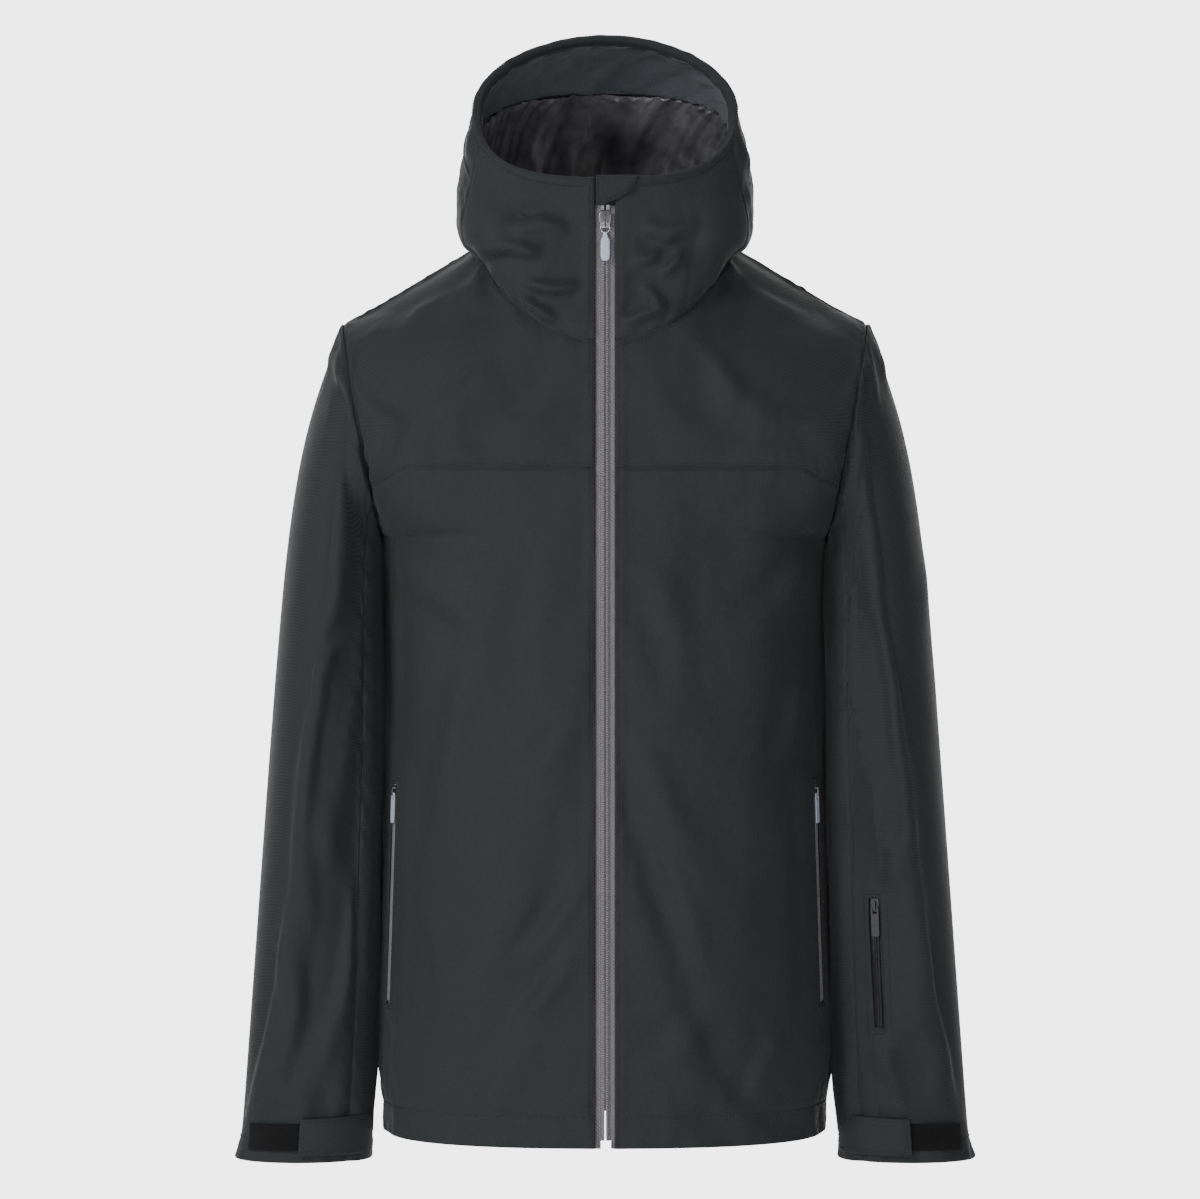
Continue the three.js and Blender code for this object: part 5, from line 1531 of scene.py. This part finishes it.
# ---- Zip tapes, coils and bartacks ----
MAIN_TAPE = {"half": 14, "thick": 0.8, "slot": 0.8, "chain": 3.6, "high": 2.4}
POCKET_TAPE = {"half": 8, "thick": 0.6, "slot": 0.7, "chain": 2.6, "high": 1.8}
MAIN_COIL = {"pitch": 1.45, "radius": 0.52, "bow": 0.55}
POCKET_COIL = {"pitch": 1.15, "radius": 0.4, "bow": 0.4}
COIL_RAISED = {"hand_pocket_left": 1.5, "hand_pocket_right": 1.5, "pass_pocket": 0.3}
TAPE_END = 7                     # how far a pocket zip's tape goes on past its chain
BARTACK_END, BARTACK_HALF, BARTACK_LIFT = 4, 6.2, POCKET_TAPE_INSET + 0.9
POCKET_STITCH = 10.5             # from a pocket zip's middle to the topstitching round it


def tape_grid(zip_frame, zip_size, hand, start, end):
    """One half of a zip's tape, faintly wavy."""
    low, high = sorted((zip_size["slot"] * hand, zip_size["half"] * hand))
    x = np.linspace(low, high, 7)[None, :]
    y = np.linspace(start, end, max(20, int((end - start) / 6)))[:, None]
    lift = 0.12 * np.sin(y / 3.1) * np.sin(y / 11)
    return zip_frame.at(x, y, lift + 0 * x)


def add_coil(name, zip_frame, hand, zip_size, coil, made, start, end, raised=0.0):
    """One side's coil, as the bent loop of each tooth lying across the tape."""
    pitch = coil["pitch"]
    count = int((end - start) / pitch)
    y = start + pitch * (np.arange(count) + (0.5 if hand > 0 else 0.0))
    inner, outer = zip_size["slot"] * hand * 0.15, zip_size["chain"] * hand
    top, low = zip_size["high"] * 0.72 + raised, zip_size["high"] * 0.22 + raised
    starts, ends = zip_frame.at(inner, y, top), zip_frame.at(outer, y + 0.25, low)
    bow = np.tile(zip_frame.z * coil["bow"], (count, 1))
    return capsules(name, starts, ends, coil["radius"], made, bow=bow)


def add_main_zip():
    length = (ZIP_TOP_Z - HEM_Z) * math.hypot(1, ZIP_LEAN)
    for name, hand in (("right", 1), ("left", -1)):
        grid = tape_grid(MAIN_FRAME, MAIN_TAPE, hand, 0, length)
        solid_strip(f"main_zip_tape_{name}", grid, MAIN_TAPE["thick"], TAPE,
                    replaced=[f"main_zip_tape_{name}"])
        coil = add_coil(f"main_zip_coil_{name}", MAIN_FRAME, hand, MAIN_TAPE, MAIN_COIL, COIL,
                        5, length - 8)
        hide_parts(f"main_zip_coil_{name}")


def add_pocket_zip(prefix, zip_frame, length, tape, chain):
    for word, hand in (("front", 1), ("back", -1)):
        grid = tape_grid(zip_frame, POCKET_TAPE, hand, -TAPE_END, length + TAPE_END)
        solid_strip(f"{prefix}_tape_{word}", grid, POCKET_TAPE["thick"], tape)
        coil = add_coil(f"{prefix}_coil_{word}", zip_frame, hand, POCKET_TAPE, POCKET_COIL, chain,
                        0.5, length - 0.5, COIL_RAISED[prefix])
        if hand > 0:
            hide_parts(f"{prefix}_zip")


def bartack(name, zip_frame, down, height=2.2):
    """A dense bar of stitches across the end of a zip."""
    count = int(2 * BARTACK_HALF / 0.55)
    x = np.linspace(-BARTACK_HALF, BARTACK_HALF, count)
    turn = np.where(np.arange(count) % 2 == 0, 0.5, -0.5)
    starts = zip_frame.at(x, down - height / 2, BARTACK_LIFT)
    ends = zip_frame.at(x + 0.2 * turn, down + height / 2, BARTACK_LIFT)
    capsules(name, starts, ends, 0.36, THREAD, bow=np.tile(zip_frame.z * 0.3, (count, 1)))


def dress_pocket(prefix, cloth, zip_frame, length):
    """Topstitching on both sides of a pocket opening and a bartack at each end."""
    x, y, z = zip_frame.local(cloth.points)
    rows = np.nonzero(((y > -9) & (y < length + 9))[:, cloth.slit_column])[0]
    for place in (-POCKET_STITCH, POCKET_STITCH):
        spots, leans = [], []
        for row in rows:
            order = np.argsort(x[row])
            line = order[np.abs(z[row, order]) < 30]
            for found, values in ((spots, cloth.points), (leans, cloth.face_normal)):
                found.append([np.interp(place, x[row, line], values[row, line, i]) for i in range(3)])
        SEWING.row(f"{prefix}_edge", np.array(spots), np.array(leans))
    bartack(f"{prefix}_bartack_top", zip_frame, -BARTACK_END)
    bartack(f"{prefix}_bartack_bottom", zip_frame, length + BARTACK_END)


def dress_pockets(cloths):
    for name, zip_frame in HAND_FRAMES.items():
        prefix = f"hand_pocket_{name}"
        add_pocket_zip(prefix, zip_frame, HAND_ZIP_LENGTH, TAPE, COIL)
        dress_pocket(prefix, cloths[f"front_panel_{name}"], zip_frame, HAND_ZIP_LENGTH)
    add_pocket_zip("pass_pocket", PASS_FRAME, PASS_ZIP_LENGTH, BLACK_TAPE, BLACK_ZIP)
    dress_pocket("pass_pocket", cloths["upper_sleeve_left"], PASS_FRAME, PASS_ZIP_LENGTH)


# ---- Chin guard, cuffs and hanger loop ----
GUARD_FACE, GUARD_THICK = 3.9, 1.8
GUARD_COLUMNS, GUARD_ROWS = 40, 26
GUARD_SEAM, GUARD_TIP, GUARD_TOP = -7.8, 27.3, -25.2
GUARD_STITCH_PITCH = 2.4
# The guard's lower edge, from its seam to its free end: across the zip and down from the zip's top
GUARD_EDGE = np.array([(-7.6, 3.0), (-2, 1.0), (5, -2.6), (12.5, -5.8), (19.5, -10.4), (24.6, -16.6),
                       (27.2, -24.8)])


def add_chin_guard():
    """The flap over the top of the zip: straight at its seam, curved at its free edge."""
    turn = np.linspace(0, 1, GUARD_COLUMNS)
    knots = np.linspace(0, 1, len(GUARD_EDGE))
    edge = rounded(np.stack([np.interp(turn, knots, GUARD_EDGE[:, k]) for k in range(2)], axis=-1), 3)
    low = np.clip(edge[:, 1], -24.0, 0.4)[None, :]
    x = np.broadcast_to(edge[None, :, 0], (GUARD_ROWS, GUARD_COLUMNS))
    y = mix(-24.9, low, np.linspace(0, 1, GUARD_ROWS)[:, None])
    to_low = (low - y) * 0.8 + 0 * x
    to_edge = np.minimum.reduce([np.abs(x - GUARD_SEAM), y - GUARD_TOP, to_low, GUARD_TIP - x])
    plump = 1.0 * (1 - np.exp(-np.maximum(to_edge, 0) / 2.2)) - 0.55 * np.exp(-((to_edge - 2.6) / 0.8) ** 2)
    grid = MAIN_FRAME.at(-x, y, GUARD_FACE + GUARD_THICK - 0.6 + plump * 0.6)
    solid_strip("chin_guard", grid, 1.2, SHELL, body="chin_flap",
                replaced=["chin_guard"], swap=True)
    inner = edge[2:-1].copy()
    inner[:, 1] = np.clip(inner[:, 1] - 2.6, -24, 0)
    inner = inner[inner[:, 0] < 24.8]
    down = np.linspace(-24, -1, 24)
    lines = [inner, *(np.stack([place + 0 * down, down], axis=-1) for place in (-6.0, -3.4))]
    for line in lines:
        points = MAIN_FRAME.at(-line[:, 0], line[:, 1], GUARD_FACE + GUARD_THICK - 0.35)
        normals = np.tile(MAIN_FRAME.z, (len(line), 1))
        SEWING.row("chin_guard", points, normals, GUARD_STITCH_PITCH, "chin_flap")


SLEEVE_LENGTH = 714
TAB_END = 1 - 6 / SLEEVE_LENGTH
TAB_START = TAB_END - 30 / SLEEVE_LENGTH
TAPE_BORDER = 4 / SLEEVE_LENGTH  # from the tab's edges to the hook-and-loop tape
TAB_ANGLES, HOOK_ANGLES, LOOP_ANGLES = (90, 165), (91, 135), (40, 135)
CUFF_ROWS = 22
TAB_STITCH_ROWS, TAB_STITCH_COLUMN, TAB_STITCH_PITCH = (2, 19), 4, 2.6


def cuff_strip(node, side, angles, rows, inset, thick, made, body, nap=0.0):
    """A strip round the cuff at an inset; nap roughens it, and without nap it has a stitched border."""
    u = np.linspace(*angles, max(12, int((angles[1] - angles[0]) * 1.2)))[None, :]
    v = np.linspace(*rows, CUFF_ROWS)[:, None]
    base = sleeve_points(side, u, v, 0)
    s, t = run_lengths(base, 1), run_lengths(base, 0)
    edge = edge_distance(s, t)
    rise = 0.7 * (1 - np.exp(-edge / 1.3)) - 0.7
    if nap:
        rise = rise + nap * ripples(s, t, 95, 2.4)
    else:
        rise = rise - 0.45 * np.exp(-((edge - 3) / 0.8) ** 2)
    grid = sleeve_points(side, u, v, inset - rise)
    solid_strip(node, grid, thick, made, body=body, replaced=[node], swap=side < 0)
    return grid, sleeve_points(side, u, v, -8.0) - grid


def add_cuff(name, side):
    """The loop patch on the sleeve, and the tab with its hook patch."""
    body = f"tab_{name}"
    taped = (TAB_START + TAPE_BORDER, TAB_END - TAPE_BORDER)
    loops, hooks, tab = (f"cuff_{part}_{name}" for part in ("loop_patch", "hook_patch", "tab"))
    cuff_strip(loops, side, LOOP_ANGLES, taped, -1.6, 1.0, LOOPS, "root", 0.12)
    cuff_strip(hooks, side, HOOK_ANGLES, taped, -2.7, 0.8, HOOKS, body, 0.1)
    grid, normal = cuff_strip(tab, side, TAB_ANGLES, (TAB_START, TAB_END), -4.7, 1.4, SHELL,
                              body)
    lines = [(row, slice(None)) for row in TAB_STITCH_ROWS]
    for line in [*lines, (slice(2, 20), TAB_STITCH_COLUMN)]:
        SEWING.row(tab, grid[line], normal[line], TAB_STITCH_PITCH, body)


def add_hanger_loop():
    """A narrow lining loop that bows up from the nape."""
    low, high = node_box("hanger_loop")
    turn = np.linspace(0, math.pi, 40)[None, :]
    middle, half = (low[0] + high[0]) / 2, (high[0] - low[0]) / 2 - 2
    x = middle + half * np.cos(turn)
    z = low[2] + (high[2] - low[2] - 2) * np.sin(turn) ** 0.6
    y = np.linspace(low[1] + 0.4, high[1] - 0.4, 9)[:, None]
    bulge = 0.35 * np.cos((np.linspace(-1, 1, 9)[:, None]) * math.pi / 2)
    grid = np.stack(np.broadcast_arrays(x + bulge * np.cos(turn), y, z + bulge * np.sin(turn)), axis=-1)
    solid_strip("hanger_loop", grid, 1.6, LINING, replaced=["hanger_loop"])


# ---- Hard parts that stay as the frame's own ----
KEPT = {
    "main_zip_retainer_box": BRIGHT_METAL, "main_zip_top_stop_left": BRIGHT_METAL,
    "main_zip_top_stop_right": BRIGHT_METAL, "hand_pocket_left_slider": DARK_METAL,
    "hand_pocket_right_slider": DARK_METAL, "hand_pocket_left_pull": PULL, "hand_pocket_right_pull": PULL,
    "pass_pocket_slider": BLACK_ZIP, "pass_pocket_pull": BLACK_ZIP,
}


def loft(name, zip_frame, sections, made, slot, body, replaced=(), roundness=3.0, sides=20):
    """A solid through rounded cross-sections, each (y, z, half width, half height) in a zip's frame."""
    turn = np.linspace(0, 2 * math.pi, sides, endpoint=False)
    cosine, sine = np.cos(turn), np.sin(turn)
    shape_x = np.sign(cosine) * np.abs(cosine) ** (2 / roundness)
    shape_z = np.sign(sine) * np.abs(sine) ** (2 / roundness)
    rings = [zip_frame.at(half * shape_x, y, z + high * shape_z) for y, z, half, high in sections]
    cap = np.arange(sides)
    faces = [*ring_faces(len(rings), sides), cap, ((len(rings) - 1) * sides + cap)[::-1]]
    piece = finish_mesh(name, np.concatenate(rings), faces, made)
    return place_piece(piece, body, replaced)


# How far down the slider, half width and half thickness of its plates
SLIDER_PLATE = [(0.2, 3.6, 0.5), (1.0, 4.5, 0.75), (4.5, 5.6, 0.85), (8.5, 5.0, 0.85), (14.0, 4.0, 0.75),
                (14.8, 3.3, 0.5)]
PLATE_LEVELS = {"main_zip_slider": 3.45, "main_zip_slider_under": -1.75}
# How far down from its hinge, half width and half thickness of the pull
PULL_SHAPE = [(7.2, 1.5, 0.5), (7.8, 1.9, 0.9), (9.5, 1.7, 0.8), (11.5, 2.2, 0.8), (13.2, 3.5, 0.85),
              (15, 3.75, 0.9), (22, 3.8, 0.9), (27.5, 3.75, 0.9), (29.6, 3.3, 0.85), (30.8, 2.3, 0.7),
              (31.3, 1.1, 0.4)]


def add_slider():
    """The main slider: two plates, the web between them and the bridge that holds the ring."""
    on_slider = (DARK_METAL, "dark_metal", "main_slider")
    for title, level in PLATE_LEVELS.items():
        sections = [(MAIN_START + y, level, half, high * 0.8) for y, half, high in SLIDER_PLATE]
        loft(title, MAIN_FRAME, sections, *on_slider, ["main_zip_slider"] if level > 0 else ())
    web = [(MAIN_START + y, 0.8, 0.42, 2.6) for y in (1.2, 2.0, 13, 13.8)]
    loft("main_zip_slider_web", MAIN_FRAME, web, *on_slider)
    arch = np.linspace(0, math.pi, 14)
    route = MAIN_FRAME.at(0, MAIN_START + 7.8 - 5.4 * np.cos(arch), 3.9 + 2.9 * np.sin(arch) ** 0.55)
    capsules("main_zip_bridge", route[:-1], route[1:], 0.62, DARK_METAL, "main_slider",
             sides=10)


def add_main_pull():
    """The round ring and the moulded pull with its raised dot."""
    down, out = MAIN_PIVOT[0] + MAIN_START, MAIN_PIVOT[1]
    turn = np.linspace(0, 2 * math.pi, 33)
    ring = MAIN_FRAME.at(3.9 * np.sin(turn), down + 3.6 - 4.3 * np.cos(turn), out)
    hoop = capsules("main_zip_ring", ring[:-1], ring[1:], 0.55, BRIGHT_METAL, "main_pull",
                    sides=10)
    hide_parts("main_zip_ring")
    sections = [(down + y, out, half, high) for y, half, high in PULL_SHAPE]
    loft("main_zip_pull", MAIN_FRAME, sections, PULL, "pull_webbing", "main_pull", ["main_zip_pull"], 3.4, 28)
    dot = MAIN_FRAME.at(0, down + 26.6, np.array([out + 0.2, out + 1.1]))
    capsules("main_zip_pull_dot", dot[:1], dot[1:], 1.5, PULL, "main_pull", sides=20)


def dress_kept_nodes():
    """Gives the frame's own hard parts their materials."""
    for node, made in KEPT.items():
        piece = frame["nodes"][node]
        piece.data.materials.clear()
        piece.data.materials.append(made)


# ---- The jacket ----


def make_jacket():
    shell, hood = shape_shell(), shape_hood_inside()
    simulate([*shell.values(), *hood])
    detail_shell(shell)
    detail_hood(*hood)
    build_shell(shell)
    build_hood(*hood)
    close_seams([*shell.items(), *((cloth.name, cloth) for cloth in hood)])
    sew_shell(shell)
    add_inner_layers()
    add_main_zip()
    add_slider()
    add_main_pull()
    dress_pockets(shell)
    add_chin_guard()
    for name, side in SIDES:
        add_cuff(name, side)
    add_hanger_loop()
    dress_kept_nodes()
    SEWING.sew()


add_camera()
add_studio()
make_jacket()

plain = lambda box: [list(corner) for corner in box]
{"cad": plain(CAD_BOX), "visual": plain(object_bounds())}
